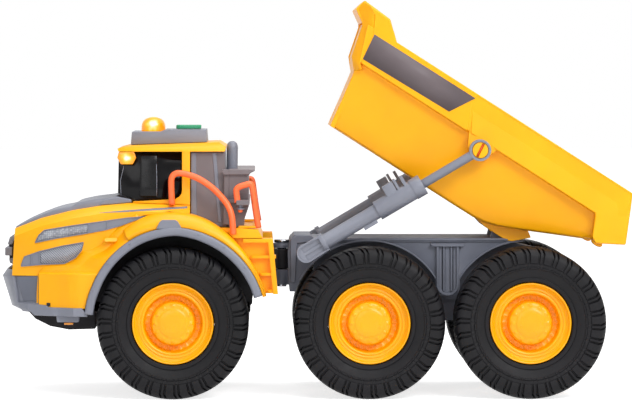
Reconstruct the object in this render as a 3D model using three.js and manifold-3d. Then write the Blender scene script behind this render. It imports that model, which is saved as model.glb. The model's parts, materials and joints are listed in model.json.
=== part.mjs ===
// Toy articulated dump truck: millimetres, +Z up, nose towards -X, stored with the bed raised.
import * as THREE from 'three';
import { ConvexGeometry } from 'three/addons/geometries/ConvexGeometry.js';
import { mergeVertices } from 'three/addons/utils/BufferGeometryUtils.js';
import Module from 'manifold-3d';

const wasm = await Module();
wasm.setup();

// ---------------------------------------------------------------- driving dimensions
// x is counted from the nose and z from the floor, until the last step centres the truck on its box
const GAP = 0.3;                 // between pieces that touch
const PLAY = 0.4;                // on the radius of a running fit
const WALL = 2.2;                // moulded wall
const WHEEL_R = 40;
const WHEEL_OUT = 58;            // middle plane to outer tyre face
const TYRE_W = 32;
const TYRE_GAP = 4.9;            // between the middle and the rear tyres
const RIM_R = 21.5;
const AXLE_R = 2;
const AXLE_Z = 40;               // every height of the body is set from the axle line
const ARCH_ROOM = 10.4;          // tyre to wheel housing
const FLARE_T = 3.4;             // fender lip, across the arch
const NOSE_L = 39.9;             // nose ahead of the front wheel housing
const HOOD_X = 5;                // front face of the hood
const CAB_W = 36;                // half width of the cab at its foot
const LEDGE_W = 10;              // top of the front body beside the cab
const CAB_L = 58.3;
const CAB_TOP = 130;
const CHASSIS_W = 20;
const DECK_Z = 90;               // platform behind the cab
const DECK_H = 5.2;
const LADDER_BACK = 5;           // ladder foot behind the wheel housing
const HITCH_R = 6.5;             // knuckle
const HITCH_Z = 66;              // joint between the two knuckles
const HITCH_PIN_R = 2.5;
const RAIL_W = 24;               // half width of the rear frame
const RAIL_OVER = 3.8;           // rail top over the tyres
const HINGE_R = 2;
const TILT = THREE.MathUtils.degToRad(32.6);
const BED_W = 43.5;              // half width over the side bands
const BED_WALL = 2.5;
const BED_FRONT = -104.4;        // bed x and z are measured from its hinge, with the bed lowered
const BED_TAIL = 59.2;
const BED_RIM = 53.8;
const BED_FLOOR = -2.5;
const BAND_Z = 34.4;             // lower edge of the side band
const EYE = [-33.2, 29.4];       // cylinder eye on the bed
const EYE_R = 5.75;
const EYE_T = 5;
const BARREL_R = 4;
const ROD_R = 2.4;
const SEG = 40;

// ---------------------------------------------------------------- sizes that follow
const BODY_W = CAB_W + LEDGE_W;  // half width of the front body
const ARCH_R = WHEEL_R + ARCH_ROOM;
const FRONT_X = NOSE_L + ARCH_R;
const ARCH_BACK = FRONT_X + ARCH_R;
const FLARE_OUT = WHEEL_OUT - 0.5;
const FENDER_OUT = WHEEL_OUT - 3.5;
const WHEEL_Y = WHEEL_OUT - TYRE_W / 2;
const WHEEL_IN = WHEEL_OUT - TYRE_W;
const HOUSING_IN = WHEEL_IN - 3.6;
const CAB_X = FRONT_X - 29.4;    // foot of the windscreen
const CAB_REAR_X = CAB_X + CAB_L;
const PILLAR_X = CAB_X + 38.2;   // rear end of the hood, under the side pillar
const HITCH_X = ARCH_BACK + LADDER_BACK + 2.3;
const MID_X = HITCH_X + WHEEL_R + 5.9;
const REAR_X = MID_X + 2 * WHEEL_R + TYRE_GAP;
const RAIL_Z = AXLE_Z + WHEEL_R + RAIL_OVER;
const RAIL_END = REAR_X + 12.2;
const PIVOT_X = REAR_X - 14.3;
const PIVOT_Z = RAIL_Z + 4.7;
const FOOT_X = HITCH_X + 12.5;
const FOOT_Z = RAIL_Z - 7;
const CYL_Y = BED_W + GAP + 0.2 + EYE_T / 2;

// ---------------------------------------------------------------- helpers
const solid = (geometry) => {
  const g = geometry.index ? geometry.clone() : geometry;
  g.deleteAttribute('normal');
  g.deleteAttribute('uv');
  const m = mergeVertices(g, 1e-5);
  return new wasm.Manifold(new wasm.Mesh({
    numProp: 3,
    vertProperties: new Float32Array(m.attributes.position.array),
    triVerts: new Uint32Array(m.index.array),
  }));
};
const union = (...list) => list.reduce((a, b) => a.add(b));
const cut = (body, ...tools) => tools.reduce((a, b) => a.subtract(b), body);

const box = (x0, x1, y0, y1, z0, z1) => {
  const g = new THREE.BoxGeometry(x1 - x0, y1 - y0, z1 - z0);
  return solid(g.translate((x0 + x1) / 2, (y0 + y1) / 2, (z0 + z1) / 2));
};
const shapeOf = (points) => new THREE.Shape(points.map(([a, b]) => new THREE.Vector2(a, b)));
// outline in x, z pulled across y
const prism = (points, y0, y1) => {
  const g = new THREE.ExtrudeGeometry(shapeOf(points), { depth: y1 - y0, bevelEnabled: false });
  return solid(g.rotateX(Math.PI / 2).translate(0, y1, 0));
};
// outline in x, y pulled up z
const slab = (points, z0, z1) => {
  const g = new THREE.ExtrudeGeometry(shapeOf(points), { depth: z1 - z0, bevelEnabled: false });
  return solid(g.translate(0, 0, z0));
};
const disc = (r, x, z, y0, y1, seg = SEG) => {
  const g = new THREE.CylinderGeometry(r, r, y1 - y0, seg);
  return solid(g.translate(x, (y0 + y1) / 2, z));
};
const post = (r, x, y, z0, z1, top = r, seg = 20) => {
  const g = new THREE.CylinderGeometry(top, r, z1 - z0, seg);
  return solid(g.rotateX(Math.PI / 2).translate(x, y, (z0 + z1) / 2));
};
// round bar along x, centred on the axis
const bar = (r, x0, x1, seg = 20) => {
  const g = new THREE.CylinderGeometry(r, r, x1 - x0, seg);
  return solid(g.rotateZ(Math.PI / 2).translate((x0 + x1) / 2, 0, 0));
};
const hull = (points) => solid(new ConvexGeometry(points.map((p) => new THREE.Vector3(...p))));
// one convex piece from [x, half width, z] stations, mirrored in y
const pairHull = (list) => hull(list.flatMap(([x, w, z]) => [[x, -w, z], [x, w, z]]));
const lathe = (points, y, seg = 32) => {
  const g = new THREE.LatheGeometry(points.map(([r, h]) => new THREE.Vector2(r, h)), seg);
  return solid(g.translate(0, y, 0));
};
const mirrored = (body) => body.mirror([0, 1, 0]);
const both = (body) => body.add(mirrored(body));
const arc = (r, from, to, n, cx = FRONT_X, cz = AXLE_Z) => Array.from({ length: n + 1 }, (_, i) => {
  const a = THREE.MathUtils.degToRad(from + ((to - from) * i) / n);
  return [cx + r * Math.cos(a), cz + r * Math.sin(a)];
});
const pipe = (points, r, seg = 8, steps = 22) => {
  const path = new THREE.CatmullRomCurve3(points.map((p) => new THREE.Vector3(...p)), false, 'centripetal');
  const ring = Array.from({ length: seg }, (_, i) => [
    r * Math.cos((2 * Math.PI * i) / seg), r * Math.sin((2 * Math.PI * i) / seg)]);
  return solid(new THREE.ExtrudeGeometry(shapeOf(ring), { steps, extrudePath: path, bevelEnabled: false }));
};

const group = new THREE.Group();
group.name = 'articulated_dump_truck';
const YELLOW = [0xffb41e, 0.38, 0];
const GREY = [0x80838f, 0.45, 0];
const DARK = [0x5a5e6a, 0.5, 0];
const RUBBER = [0x2c2b31, 0.7, 0];
const BLACK = [0x0b090d, 0.12, 0];
const ORANGE = [0xff7a40, 0.4, 0];
const AMBER = [0xffa51a, 0.2, 0];
const GREEN = [0x3ba57a, 0.4, 0];
const STEEL = [0xb4b6ba, 0.3, 1];
const named = (name, body, [color, roughness, metalness]) => {
  const out = body.getMesh();
  const g = new THREE.BufferGeometry();
  g.setAttribute('position', new THREE.BufferAttribute(new Float32Array(out.vertProperties), 3));
  g.setIndex(new THREE.BufferAttribute(new Uint32Array(out.triVerts), 1));
  g.computeVertexNormals();
  const mesh = new THREE.Mesh(g, new THREE.MeshStandardMaterial({ color, roughness, metalness }));
  mesh.name = name;
  group.add(mesh);
};
const sides = (name, body, look) => {
  named(`${name}_right`, body, look);
  named(`${name}_left`, mirrored(body), look);
};

// ---------------------------------------------------------------- wheels
const SIDEWALL = WHEEL_R - RIM_R;
// radius as a share of the sidewall, then width as a share of the tyre
const shoulder = [[0, 0.44], [0.14, 0.485], [0.57, 0.5], [0.8, 0.49], [0.94, 0.42], [1, 0.3]];
const tyrePoint = ([t, w], side) => [t === 0 ? RIM_R + GAP : RIM_R + t * SIDEWALL, side * w * TYRE_W];
const tyreProfile = [...shoulder.map((p) => tyrePoint(p, -1)),
  ...shoulder.toReversed().map((p) => tyrePoint(p, 1)), tyrePoint(shoulder[0], -1)];
const RIM_FACE = 0.394 * TYRE_W;               // rim edge from the wheel's middle plane
const HUB_FACE = RIM_FACE - 2;
const BORE_END = RIM_FACE - 6;                 // bottom of the blind axle bore
const DISH = RIM_R - 7;                        // outer edge of the ring groove
const HUB_R = RIM_R - 9.9;
// outer face first, from the hub outwards, then the hollow back and the bore
const rimProfile = [
  [0, HUB_FACE], [5.6, HUB_FACE], [6.6, HUB_FACE - 0.8], [HUB_R - 0.4, HUB_FACE - 2.2],
  [HUB_R, HUB_FACE - 7.2], [DISH, HUB_FACE - 7.2], [DISH + 0.6, HUB_FACE - 1.2], [RIM_R - 3.5, HUB_FACE],
  [RIM_R - 1.9, HUB_FACE + 0.3], [RIM_R - 1.3, RIM_FACE], [RIM_R, RIM_FACE], [RIM_R, -RIM_FACE],
  [RIM_R - WALL, -RIM_FACE], [RIM_R - WALL, -1], [DISH - 1.5, 0.4], [AXLE_R + 3, 0.4],
  [AXLE_R + 3, -RIM_FACE], [AXLE_R + PLAY, -RIM_FACE], [AXLE_R + PLAY, BORE_END], [0, BORE_END],
].reverse();
const AXLE_END = WHEEL_Y + BORE_END - PLAY;
const HUB_IN = WHEEL_Y - RIM_FACE - 1;         // axle tubes stop short of the rims
const axleBore = (x) => disc(AXLE_R + GAP, x, AXLE_Z, -HUB_IN - 1, HUB_IN + 1, 16);
const axleTube = (x) => disc(AXLE_R + 3.4, x, AXLE_Z, -HUB_IN, HUB_IN, 20);
for (const [row, x] of [['front', FRONT_X], ['middle', MID_X], ['rear', REAR_X]]) {
  sides(`tyre_${row}`, lathe(tyreProfile, WHEEL_Y).translate([x, 0, AXLE_Z]), RUBBER);
  sides(`rim_${row}`, lathe(rimProfile, WHEEL_Y).translate([x, 0, AXLE_Z]), YELLOW);
  named(`axle_${row}`, disc(AXLE_R, x, AXLE_Z, -AXLE_END, AXLE_END, 16), STEEL);
}

// ---------------------------------------------------------------- front body
const NOSE_W = BODY_W - 6.4;
const FLANK = [[HOOD_X, NOSE_W], [HOOD_X + 15.3, BODY_W - 2.4], [HOOD_X + 31.5, BODY_W]];   // plan of a side
// hood stations: x, half width, height of the crown line
const hoodLine = [[HOOD_X + 1.3, NOSE_W + 0.4, 89.5], [HOOD_X + 15.3, BODY_W - 2.4, 95],
  [HOOD_X + 31.5, BODY_W, 99.1], [CAB_X - 8.2, BODY_W, 101.8], [CAB_X + 6.4, BODY_W, 103.1],
  [PILLAR_X, BODY_W, 101.8]];
const hoodSolid = (inset, bottom) => pairHull([
  [HOOD_X + inset, NOSE_W - inset, bottom], [HOOD_X + inset, NOSE_W - inset, 66],
  [PILLAR_X - inset, BODY_W - inset, bottom], [HOOD_X + 25, BODY_W - 0.6 - inset, bottom],
  ...hoodLine.flatMap(([x, w, z], i) => {
    const along = x + (i === 0 ? inset : 0) - (i === hoodLine.length - 1 ? inset : 0);
    return [[along, w - inset, z - 4 - inset * 0.6], [along, w - 5 - inset, z - inset]];
  }),
]);
// height of the hood's crown line, with the gap that a piece lying on it keeps
const crown = (x) => {
  const i = Math.max(1, hoodLine.findIndex(([sx]) => sx >= x));
  const [[x0, , z0], [x1, , z1]] = [hoodLine[i - 1], hoodLine[i]];
  return z0 + ((z1 - z0) * (x - x0)) / (x1 - x0) + GAP;
};
const underHood = pairHull([[HOOD_X, 50 + BODY_W, 60],
  ...hoodLine.map(([x, , z]) => [x, 50 + BODY_W, z + GAP - 0.02]), [PILLAR_X + 0.2, 50 + BODY_W, 60]]);

// fender section at one angle: [angle, height over the arch, half width at the top]
const fenderLine = [[174, 5, BODY_W], [160, 4.6, BODY_W], [146, 4, BODY_W], [134, 4, BODY_W], [121, 5.2, BODY_W],
  [114, 6.8, BODY_W + 0.6], [106, 8.2, BODY_W + 1.5], [92, 8.3, BODY_W + 3], [80, 7.8, BODY_W + 3.4],
  [70, 6.7, BODY_W + 4], [58, 4.8, BODY_W + 5], [47, 3, BODY_W + 6], [30, 1.2, FENDER_OUT - 0.8],
  [16.5, 0.9, FENDER_OUT - 0.8]];
const fenderSection = ([angle, rise, w], grow) => {
  const a = THREE.MathUtils.degToRad(angle);
  const top = Math.min(w, FENDER_OUT - 0.8);
  const inside = CAB_W + 0.6 - grow;
  const at = (r, y) => [FRONT_X + r * Math.cos(a), y, AXLE_Z + r * Math.sin(a)];
  return [at(ARCH_R - 1, inside), at(ARCH_R - 1, FENDER_OUT + grow),
    at(ARCH_R + Math.min(1, rise / 3) + grow, FENDER_OUT + grow),
    at(ARCH_R + rise * 0.55 + grow, (top + FENDER_OUT) / 2 + 0.6 + grow),
    at(ARCH_R + rise + grow, top + grow / 2), at(ARCH_R + rise + grow, inside)];
};
// fender skin, or the room it needs in its neighbours
const fenderSkin = (grow = 0) => {
  const ends = { 0: 1.2 * grow, [fenderLine.length - 1]: -1.2 * grow };
  const line = fenderLine.map(([angle, ...rest], i) => [angle + (ends[i] ?? 0), ...rest]);
  return union(...line.slice(1).map((s, i) => hull([...fenderSection(line[i], grow), ...fenderSection(s, grow)])));
};
const housing = both(disc(ARCH_R, FRONT_X, AXLE_Z, HOUSING_IN, FENDER_OUT + 6, 64));
const LINER_R = ARCH_R + WALL;
const liner = prism([...arc(LINER_R, 172, 18, 24), ...arc(ARCH_R - 1, 18, 172, 24)], HOUSING_IN, BODY_W);
const fenderRoom = both(union(fenderSkin(GAP),
  disc(LINER_R + GAP, FRONT_X, AXLE_Z, HOUSING_IN - 1.4, FENDER_OUT + 6, 64)));
const PANEL_X = HOOD_X + 14.6;                 // front edge of the lower side panel
const PANEL_Z = 48;                            // its lower edge, on the bumper's skirt
const below = (x0, x1, y0, y1) => both(box(x0, x1, y0, y1, AXLE_Z - 10, PANEL_Z));
const overSkirt = below(PANEL_X, FRONT_X - 30, BODY_W - 12, WHEEL_OUT);
const underArch = box(FRONT_X, ARCH_BACK + 9, -WHEEL_OUT, WHEEL_OUT, AXLE_Z - 10, 54.4);
sides('fender', cut(union(fenderSkin(), liner), housing, underArch, overSkirt), YELLOW);

const panelPlan = (inset) => [[PANEL_X + inset, -BODY_W + 1.2 + inset], [HOOD_X + 31.5, -BODY_W + inset],
  [FRONT_X - 28, -BODY_W + inset], [FRONT_X - 28, BODY_W - inset], [HOOD_X + 31.5, BODY_W - inset],
  [PANEL_X + inset, BODY_W - 1.2 - inset]];
const DECK_END = ARCH_BACK - 3.1;
const deck = union(
  box(FRONT_X, DECK_END - 11, -BODY_W, BODY_W, DECK_Z - DECK_H, DECK_Z),
  pairHull([[DECK_END - 12, BODY_W, DECK_Z - DECK_H], [DECK_END - 12, BODY_W, DECK_Z],
    [DECK_END - 2.6, BODY_W, DECK_Z - 0.6], [DECK_END, BODY_W, DECK_Z - DECK_H]]));
const hoodShell = cut(union(hoodSolid(0, 64.8), slab(panelPlan(0), PANEL_Z, 66)),
  hoodSolid(WALL, 50), slab(panelPlan(WALL), PANEL_Z - 2, 70));
named('body_shell', cut(
  union(hoodShell, deck), fenderRoom,
  below(PANEL_X, FRONT_X - 30, BODY_W - 0.2, WHEEL_OUT),
  below(PANEL_X + WALL, FRONT_X - 30, CHASSIS_W + 0.6, WHEEL_OUT),
  box(PILLAR_X - 5, PILLAR_X + 1, -CHASSIS_W - 1, CHASSIS_W + 1, PANEL_Z, DECK_Z - DECK_H)), YELLOW);

// grey hood top: x, height, half width; raised towards the cab, with a cowl round the windscreen's foot
const COWL_Z = 106;
const hoodTop = [[HOOD_X + 1.4, 90.1, CAB_W - 10], [HOOD_X + 12, 95, CAB_W - 6], [HOOD_X + 22.8, 99.1, CAB_W - 4],
  [HOOD_X + 31.4, 101, CAB_W - 3], [HOOD_X + 35, 103.2, CAB_W - 3], [CAB_X - 14.1, 104.8, CAB_W - 2],
  [CAB_X - 0.6, COWL_Z, CAB_W - 1.4]];
const hoodPieces = hoodTop.slice(1).map(([x1, z1, w1], i) => {
  const [x0, z0, w0] = hoodTop[i];
  return pairHull([[x0, w0, crown(x0)], [x1, w1, crown(x1)], [x0, w0 - 3, z0 + 0.4], [x1, w1 - 3, z1]]);
});
const cowl = both(union(
  prism([[CAB_X - 8.9, crown(CAB_X - 8.9)], [CAB_X - 6.9, COWL_Z - 1], [CAB_X - 0.6, COWL_Z + 0.6],
    [CAB_X + 7.3, COWL_Z - 1.2], [CAB_X + 7.3, crown(CAB_X + 7.3)]], CAB_W + 0.4, CAB_W + 3.4),
  box(CAB_X - 6.9, CAB_X - 0.6, CAB_W - 6, CAB_W + 2, crown(CAB_X), COWL_Z - 0.6)));
named('hood_top', union(...hoodPieces, cowl).subtract(underHood), GREY);

// grille blades, cut from a thin sheet that lies on the hood's flank
const flankAt = (t) => [...FLANK, [FRONT_X - 10, BODY_W]].map(([x, w]) => [x + (x === HOOD_X ? 1 : 0), w + t]);
const skin = slab([...flankAt(GAP + 0.2), ...flankAt(1.3).reverse()], 60, 100);
const upperBlade = [[12.2, 82.3], [24.2, 84.8], [40.4, 87.5], [57.6, 90.4], [65, 93.2], [51.1, 92.6],
  [31.8, 90.6], [17.3, 88.4]].map(([x, z]) => [HOOD_X + x, z]);
const lowerBlade = [[4.6, 69.7], [15.6, 70.8], [28, 71.3], [33.9, 74.3], [37.2, 78.3], [38.3, 82],
  [26.4, 80.3], [14.6, 77.6], [6.3, 74.6]].map(([x, z]) => [HOOD_X + x, z]);
sides('grille_upper', skin.intersect(prism(upperBlade, NOSE_W - 9, BODY_W + 14)).subtract(fenderRoom), GREY);
sides('grille_lower', skin.intersect(prism(lowerBlade, NOSE_W - 9, BODY_W + 14)).subtract(fenderRoom), GREY);

const BAR_X = HOOD_X - GAP;                    // back of what is fixed to the nose
named('front_grille_bar', union(
  prism([[BAR_X - 1.6, 70.2], [BAR_X, 70.2], [BAR_X, 85.4], [BAR_X - 1.2, 85]], -NOSE_W + 9.6, NOSE_W - 9.6),
  prism([[BAR_X - 4.8, 73.5], [BAR_X - 1, 71.6], [BAR_X - 1, 83.4], [BAR_X - 4.8, 79.2]], -9, 9)), GREY);

const NOSE_TIP = BAR_X - 5.8;
const bumperSide = [[NOSE_TIP, BODY_W - 20], [NOSE_TIP + 3.1, BODY_W - 10], [NOSE_TIP + 9.1, BODY_W - 4],
  [PANEL_X - 0.4, BODY_W - 1.2]];
const bumperPlan = [...bumperSide.map(([x, w]) => [x, -w]), ...bumperSide.toReversed()];
const hollowSide = [[BAR_X - 1.2, BODY_W - 22], [BAR_X + 2.3, BODY_W - 9.4], [PANEL_X, BODY_W - 6]];
const hollowPlan = [...hollowSide.map(([x, w]) => [x, -w]), ...hollowSide.toReversed()];
const LEAN_BACK = 4.7;                         // foot of the bumper's face behind its top
// convex block over a side line of the plan, its front leaning back by the given run at the foot
const leaning = (side, lean, z0, z1) => pairHull(side.flatMap(([x, w], i) => (
  [[x, w, z1], [x + (i < side.length - 1 ? lean : 0), w, z0]])));
const lipSide = [[NOSE_TIP + 2.6, bumperSide[0][1]], [NOSE_TIP + 4.4, BODY_W - 10], [BAR_X, BODY_W - 8.4]];
const lip = pairHull([...bumperSide.slice(0, 2), lipSide[2]].flatMap(([x, w], i) => (
  [[x, w, 63.6], [lipSide[i][0], w, 69]])));
const footSide = bumperSide.map(([x, w], i) => [x + (i < bumperSide.length - 1 ? LEAN_BACK : 0), w]);
const SKIRT_END = FRONT_X - ARCH_R + 5.3;
const SKIRT_W = BODY_W + 4;
const skirtPlan = [[PANEL_X - 7, SKIRT_W - 10], [PANEL_X - 7, BODY_W - 2.6], [PANEL_X + 7, SKIRT_W],
  [SKIRT_END - 15, SKIRT_W + 0.6], [SKIRT_END - 6, FLARE_OUT - 1], [SKIRT_END + 1, FLARE_OUT - 1],
  [SKIRT_END + 1, SKIRT_W - 10]];
const skirt = union(
  prism([[PANEL_X - 6.5, PANEL_Z - GAP], [PANEL_X - 2.8, 43.8], [SKIRT_END, 43.8],
    [SKIRT_END - 2.8, PANEL_Z - GAP]], SKIRT_W - 10, WHEEL_OUT).intersect(slab(skirtPlan, 40, PANEL_Z)),
  prism([[SKIRT_END - 16.2, 44], [SKIRT_END - 15.2, 40.6], [SKIRT_END - 4.2, 40.6], [SKIRT_END - 3.2, 44]],
    SKIRT_W - 8, SKIRT_W - 1));
named('front_bumper', cut(union(
  leaning(bumperSide, LEAN_BACK, 48.3, 64.5), lip,
  leaning(footSide, 7, 45.4, 48.4).subtract(slab(hollowPlan, 45, 47)), both(skirt)),
leaning(hollowSide, LEAN_BACK - 1.4, 50.6, 62.2),
box(BAR_X, FRONT_X - 30, -WHEEL_OUT, WHEEL_OUT, 64.5, 70)), GREY);
sides('marker_lamp', box(SKIRT_END - 12.4, SKIRT_END - 7.6, SKIRT_W - 6.4, SKIRT_W - 2.6, 39.1, 40.3), AMBER);

const flareRing = prism([...arc(ARCH_R - GAP, 173.6, 17.4, 30), ...arc(ARCH_R - FLARE_T, 17.4, 173.6, 30)],
  FLARE_OUT - 9.5, FLARE_OUT);
const TAB_Z = AXLE_Z + ARCH_R - 1;
const flareTab = prism([[-8.7, 0], [-5.9, 5.4], [1.9, 5.4], [5.1, 0]].map(([x, z]) => [FRONT_X + x, TAB_Z + z]),
  FENDER_OUT + GAP, FLARE_OUT - 0.4);
sides('fender_flare', cut(union(flareRing, flareTab),
  box(SKIRT_END - 8, SKIRT_END + 3, SKIRT_W - 12, WHEEL_OUT, AXLE_Z - 2, PANEL_Z + 0.1)), GREY);

// ---------------------------------------------------------------- cab
const CAB_UP = CAB_W - 2.4;                    // half width under the roof
const GLASS_END = PILLAR_X - 4.5;
const windowSolid = (inset, bottom) => pairHull([
  [CAB_X + inset, CAB_W - inset, bottom ?? 108], [CAB_X + 0.8 + inset, CAB_W - 1 - inset, 122.8],
  [CAB_X + 0.4 + inset, CAB_UP - inset, CAB_TOP - inset], [GLASS_END - inset, CAB_UP - inset, CAB_TOP - inset],
  [CAB_X + 8.1, CAB_W - inset, bottom ?? 104], [GLASS_END - inset, CAB_W - inset, bottom ?? 103]]);
const GLASS_T = 2;
const screenFoot = prism([[CAB_X - 3, 109], [CAB_X - 3, 100], [CAB_X + 11, 100], [CAB_X + 11, 104.2],
  [CAB_X, 108.2]], -BODY_W, BODY_W);
named('cab_windows', cut(windowSolid(0), windowSolid(GLASS_T, DECK_Z), underHood, fenderRoom, screenFoot), BLACK);

const ROOF_Z = CAB_TOP + GAP;
const roofLine = [[CAB_X + 6, 3.4], [CAB_X + 38.8, 4.4], [CAB_X + 53.6, 5.1]];    // crown of the roof over CAB_TOP
const roofSlab = pairHull([[CAB_X - 0.2, CAB_W, ROOF_Z + 1.5], [CAB_X + 0.3, CAB_W + 1, ROOF_Z],
  [CAB_REAR_X - 1.6, CAB_W + 1, ROOF_Z], [CAB_REAR_X - 1.1, CAB_W, ROOF_Z + 2.5],
  ...roofLine.map(([x, z]) => [x, CAB_W - 2.6, CAB_TOP + z])]);
const pillarHull = (list) => hull(list.flatMap(([x0, x1, w, t, z]) => [[x0, w, z], [x1, w, z], [x0, w + t, z],
  [x1, w + t, z]]));
const pillar = pillarHull([[GLASS_END + GAP, PILLAR_X, CAB_UP + 0.3, 3.2, CAB_TOP + 0.5],
  [GLASS_END + GAP, PILLAR_X, CAB_UP + 0.3, 5, 101.9]]);
const sill = prism([[CAB_X + 8.1, 101], [CAB_X + 8.1, 103.9], [GLASS_END - 3.4, 105.1], [GLASS_END - 1.2, 106.4],
  [GLASS_END, 108], [GLASS_END + 0.4, 110], [PILLAR_X, 110], [PILLAR_X, 101]], CAB_W + 0.5, CAB_W + 2.8);
named('cab_roof', cut(union(roofSlab, both(pillar), both(sill)), underHood, fenderRoom), YELLOW);

const BACK_X = PILLAR_X + GAP;
const backSolid = (inset) => pairHull([[BACK_X + inset, CAB_W - inset, DECK_Z + (inset ? -5 : GAP)],
  [BACK_X + inset, CAB_UP - inset, CAB_TOP - inset], [CAB_REAR_X - 1.6 - inset, CAB_UP - inset, CAB_TOP - inset],
  [CAB_REAR_X - inset, CAB_W - inset, DECK_Z + (inset ? -5 : GAP)]]);
const backPanel = hull([[3.1, 14.4, CAB_UP - 0.2, 94], [3.1, 11.5, CAB_UP - 1.2, CAB_TOP - 3]].flatMap(
  ([x0, x1, w, z]) => [x0, x1].flatMap((x) => [[BACK_X + x, w, z], [BACK_X + x, w + 6, z]])));
named('cab_rear', cut(backSolid(0), backSolid(WALL + 1.2), both(backPanel), fenderRoom), GREY);

const crownCap = pairHull([[CAB_X - 1, CAB_W + 4, CAB_TOP],
  ...roofLine.map(([x, z]) => [x, CAB_W + 4, CAB_TOP + z + GAP]), [CAB_REAR_X + 1, CAB_W + 4, CAB_TOP]]);
const MODULE_W = CAB_W - 12;
const MODULE_Z = CAB_TOP + 11.6;
const BEACON_X = CAB_X + 17.8;
const BEACON_R = 6.5;
const batteryBox = box(CAB_X + 10, GLASS_END - WALL - 1, -CAB_W / 2, CAB_W / 2, 98, CAB_TOP - 9);
named('battery_box', batteryBox.subtract(underHood), BLACK);
const moduleSide = [[6.4, CAB_TOP + 3.5], [7, MODULE_Z - 1.1], [22, MODULE_Z - 1.1], [24.7, MODULE_Z],
  [46.5, MODULE_Z], [47.1, CAB_TOP + 4.8]].map(([x, z]) => [CAB_X + x, z]);
named('roof_module', cut(prism(moduleSide, -MODULE_W, MODULE_W), crownCap,
  post(BEACON_R + PLAY, BEACON_X, 0, MODULE_Z - 2, MODULE_Z + 1)), GREY);
const domeLine = [[0, -1.7], [1, -1.7], [1, 1], [0.91, 3.6], [0.65, 5.6], [0.34, 6.5], [0, 6.7]];
const dome = new THREE.LatheGeometry(domeLine.map(([r, z]) => new THREE.Vector2(r * BEACON_R, z)), 20);
named('beacon', solid(dome.rotateX(Math.PI / 2)).translate([BEACON_X, 0, MODULE_Z]), AMBER);
const BUTTON_X = CAB_X + 36.9;
const buttonPlan = [[-6.7, 6], [-4.8, 7.4], [4.8, 7.4], [6.7, 6]].map(([x, y]) => [BUTTON_X + x, y]);
named('sound_button', slab([...buttonPlan.map(([x, y]) => [x, -y]), ...buttonPlan.toReversed()], MODULE_Z + GAP,
  MODULE_Z + 2.3), GREEN);
// lamp sections under the roof's front corner: first and last x, outward thickness, height
const lampLine = [[0.5, 8.7, 2, CAB_TOP], [-0.3, 9.7, 2.4, CAB_TOP - 3], [1.7, 7.9, 1.8, CAB_TOP - 6.4]];
sides('cab_lamp', hull(lampLine.flatMap(([x0, x1, t, z]) => [x0, x1].flatMap(
  (x) => [[CAB_X + x, CAB_W + 0.4, z], [CAB_X + x, CAB_W + 0.4 + t, z]]))), AMBER);

const AIR_X = CAB_REAR_X + 0.4;
const airBack = [[0, DECK_Z + GAP], [8.1, DECK_Z + GAP], [8.1, 93.7], [10.6, 101.1], [10.6, 115.6], [0, 115.6]];
const AIR_W = CAB_W + 2;                       // half width of the air box
const AIR_WRAP = 3.6;                          // its top reaches past the rear corners of the cab
const airTop = [[-AIR_WRAP, 117.2], [0, 115.2], [10.6, 115.2], [11.4, 117.2], [13.8, 119.6], [-AIR_WRAP, 120.2]];
const fromAir = (points) => points.map(([x, z]) => [AIR_X + x, z]);
const WING_Z = 104.9;
const STACK_R = 2.3;
const CAP_R = 3;
const STACK = [AIR_X + 2.2, -(CAB_W - 16)];
named('air_box', cut(union(prism(fromAir(airBack), -AIR_W, AIR_W), prism(fromAir(airTop), -AIR_W - 2, AIR_W + 2),
  box(AIR_X + 4, AIR_X + 11.1, -BODY_W - 2.5, BODY_W + 2.5, WING_Z - 2.9, WING_Z)),
box(AIR_X - AIR_WRAP - 1, AIR_X, -CAB_W - GAP, CAB_W + GAP, DECK_Z, 125),
post(STACK_R + PLAY, ...STACK, 110, 125), fenderRoom), GREY);
named('exhaust_stack', union(post(STACK_R, ...STACK, 110 + GAP, CAB_TOP),
  post(STACK_R, ...STACK, CAB_TOP - 5.2, CAB_TOP - 3.9, CAP_R), post(CAP_R, ...STACK, CAB_TOP - 4, CAB_TOP + 2.6),
  post(CAP_R, ...STACK, CAB_TOP + 2.5, CAB_TOP + 4.6, CAP_R - 1.6)), DARK);

// rail routes: x from the foot of the windscreen or the air box, half width, height
const RAIL_BAR = 1.5;
const RAIL_IN = BODY_W - 3.6;
const across01 = (t) => RAIL_IN + t * (FENDER_OUT - 5 - RAIL_IN);
const frontRail = [[28.8, 0, 102.4], [28.8, 0.07, 115], [30.3, 0.08, 118.6], [34.1, 0.11, 119.7],
  [43.8, 0.23, 116.6], [51.1, 0.37, 111.9], [57.4, 0.56, 105.6], [60.9, 0.73, 99.8], [61.9, 0.93, 92],
  [61.7, 1, 86.6]].map(([x, t, z]) => [x, across01(t), z]);
const rearRail = [[5, 0.4, WING_Z + 0.4], [4.6, 0.4, 109.4], [6, 0.2, 112], [10.4, -0.2, 114], [12.6, -0.5, 113],
  [13.8, -1, 106], [15, -1.5, 98], [15.3, -2, DECK_Z + 0.2]].map(([x, y, z]) => [x, BODY_W + y, z]);
const route = (points, x0) => points.map(([x, y, z]) => [x0 + x, y, z]);
sides('handrail_front', cut(pipe(route(frontRail, CAB_X), RAIL_BAR), fenderRoom,
  deck.translate([0, 0, GAP])), ORANGE);
sides('handrail_rear', pipe(route(rearRail, AIR_X), RAIL_BAR).subtract(fenderRoom), ORANGE);

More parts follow.
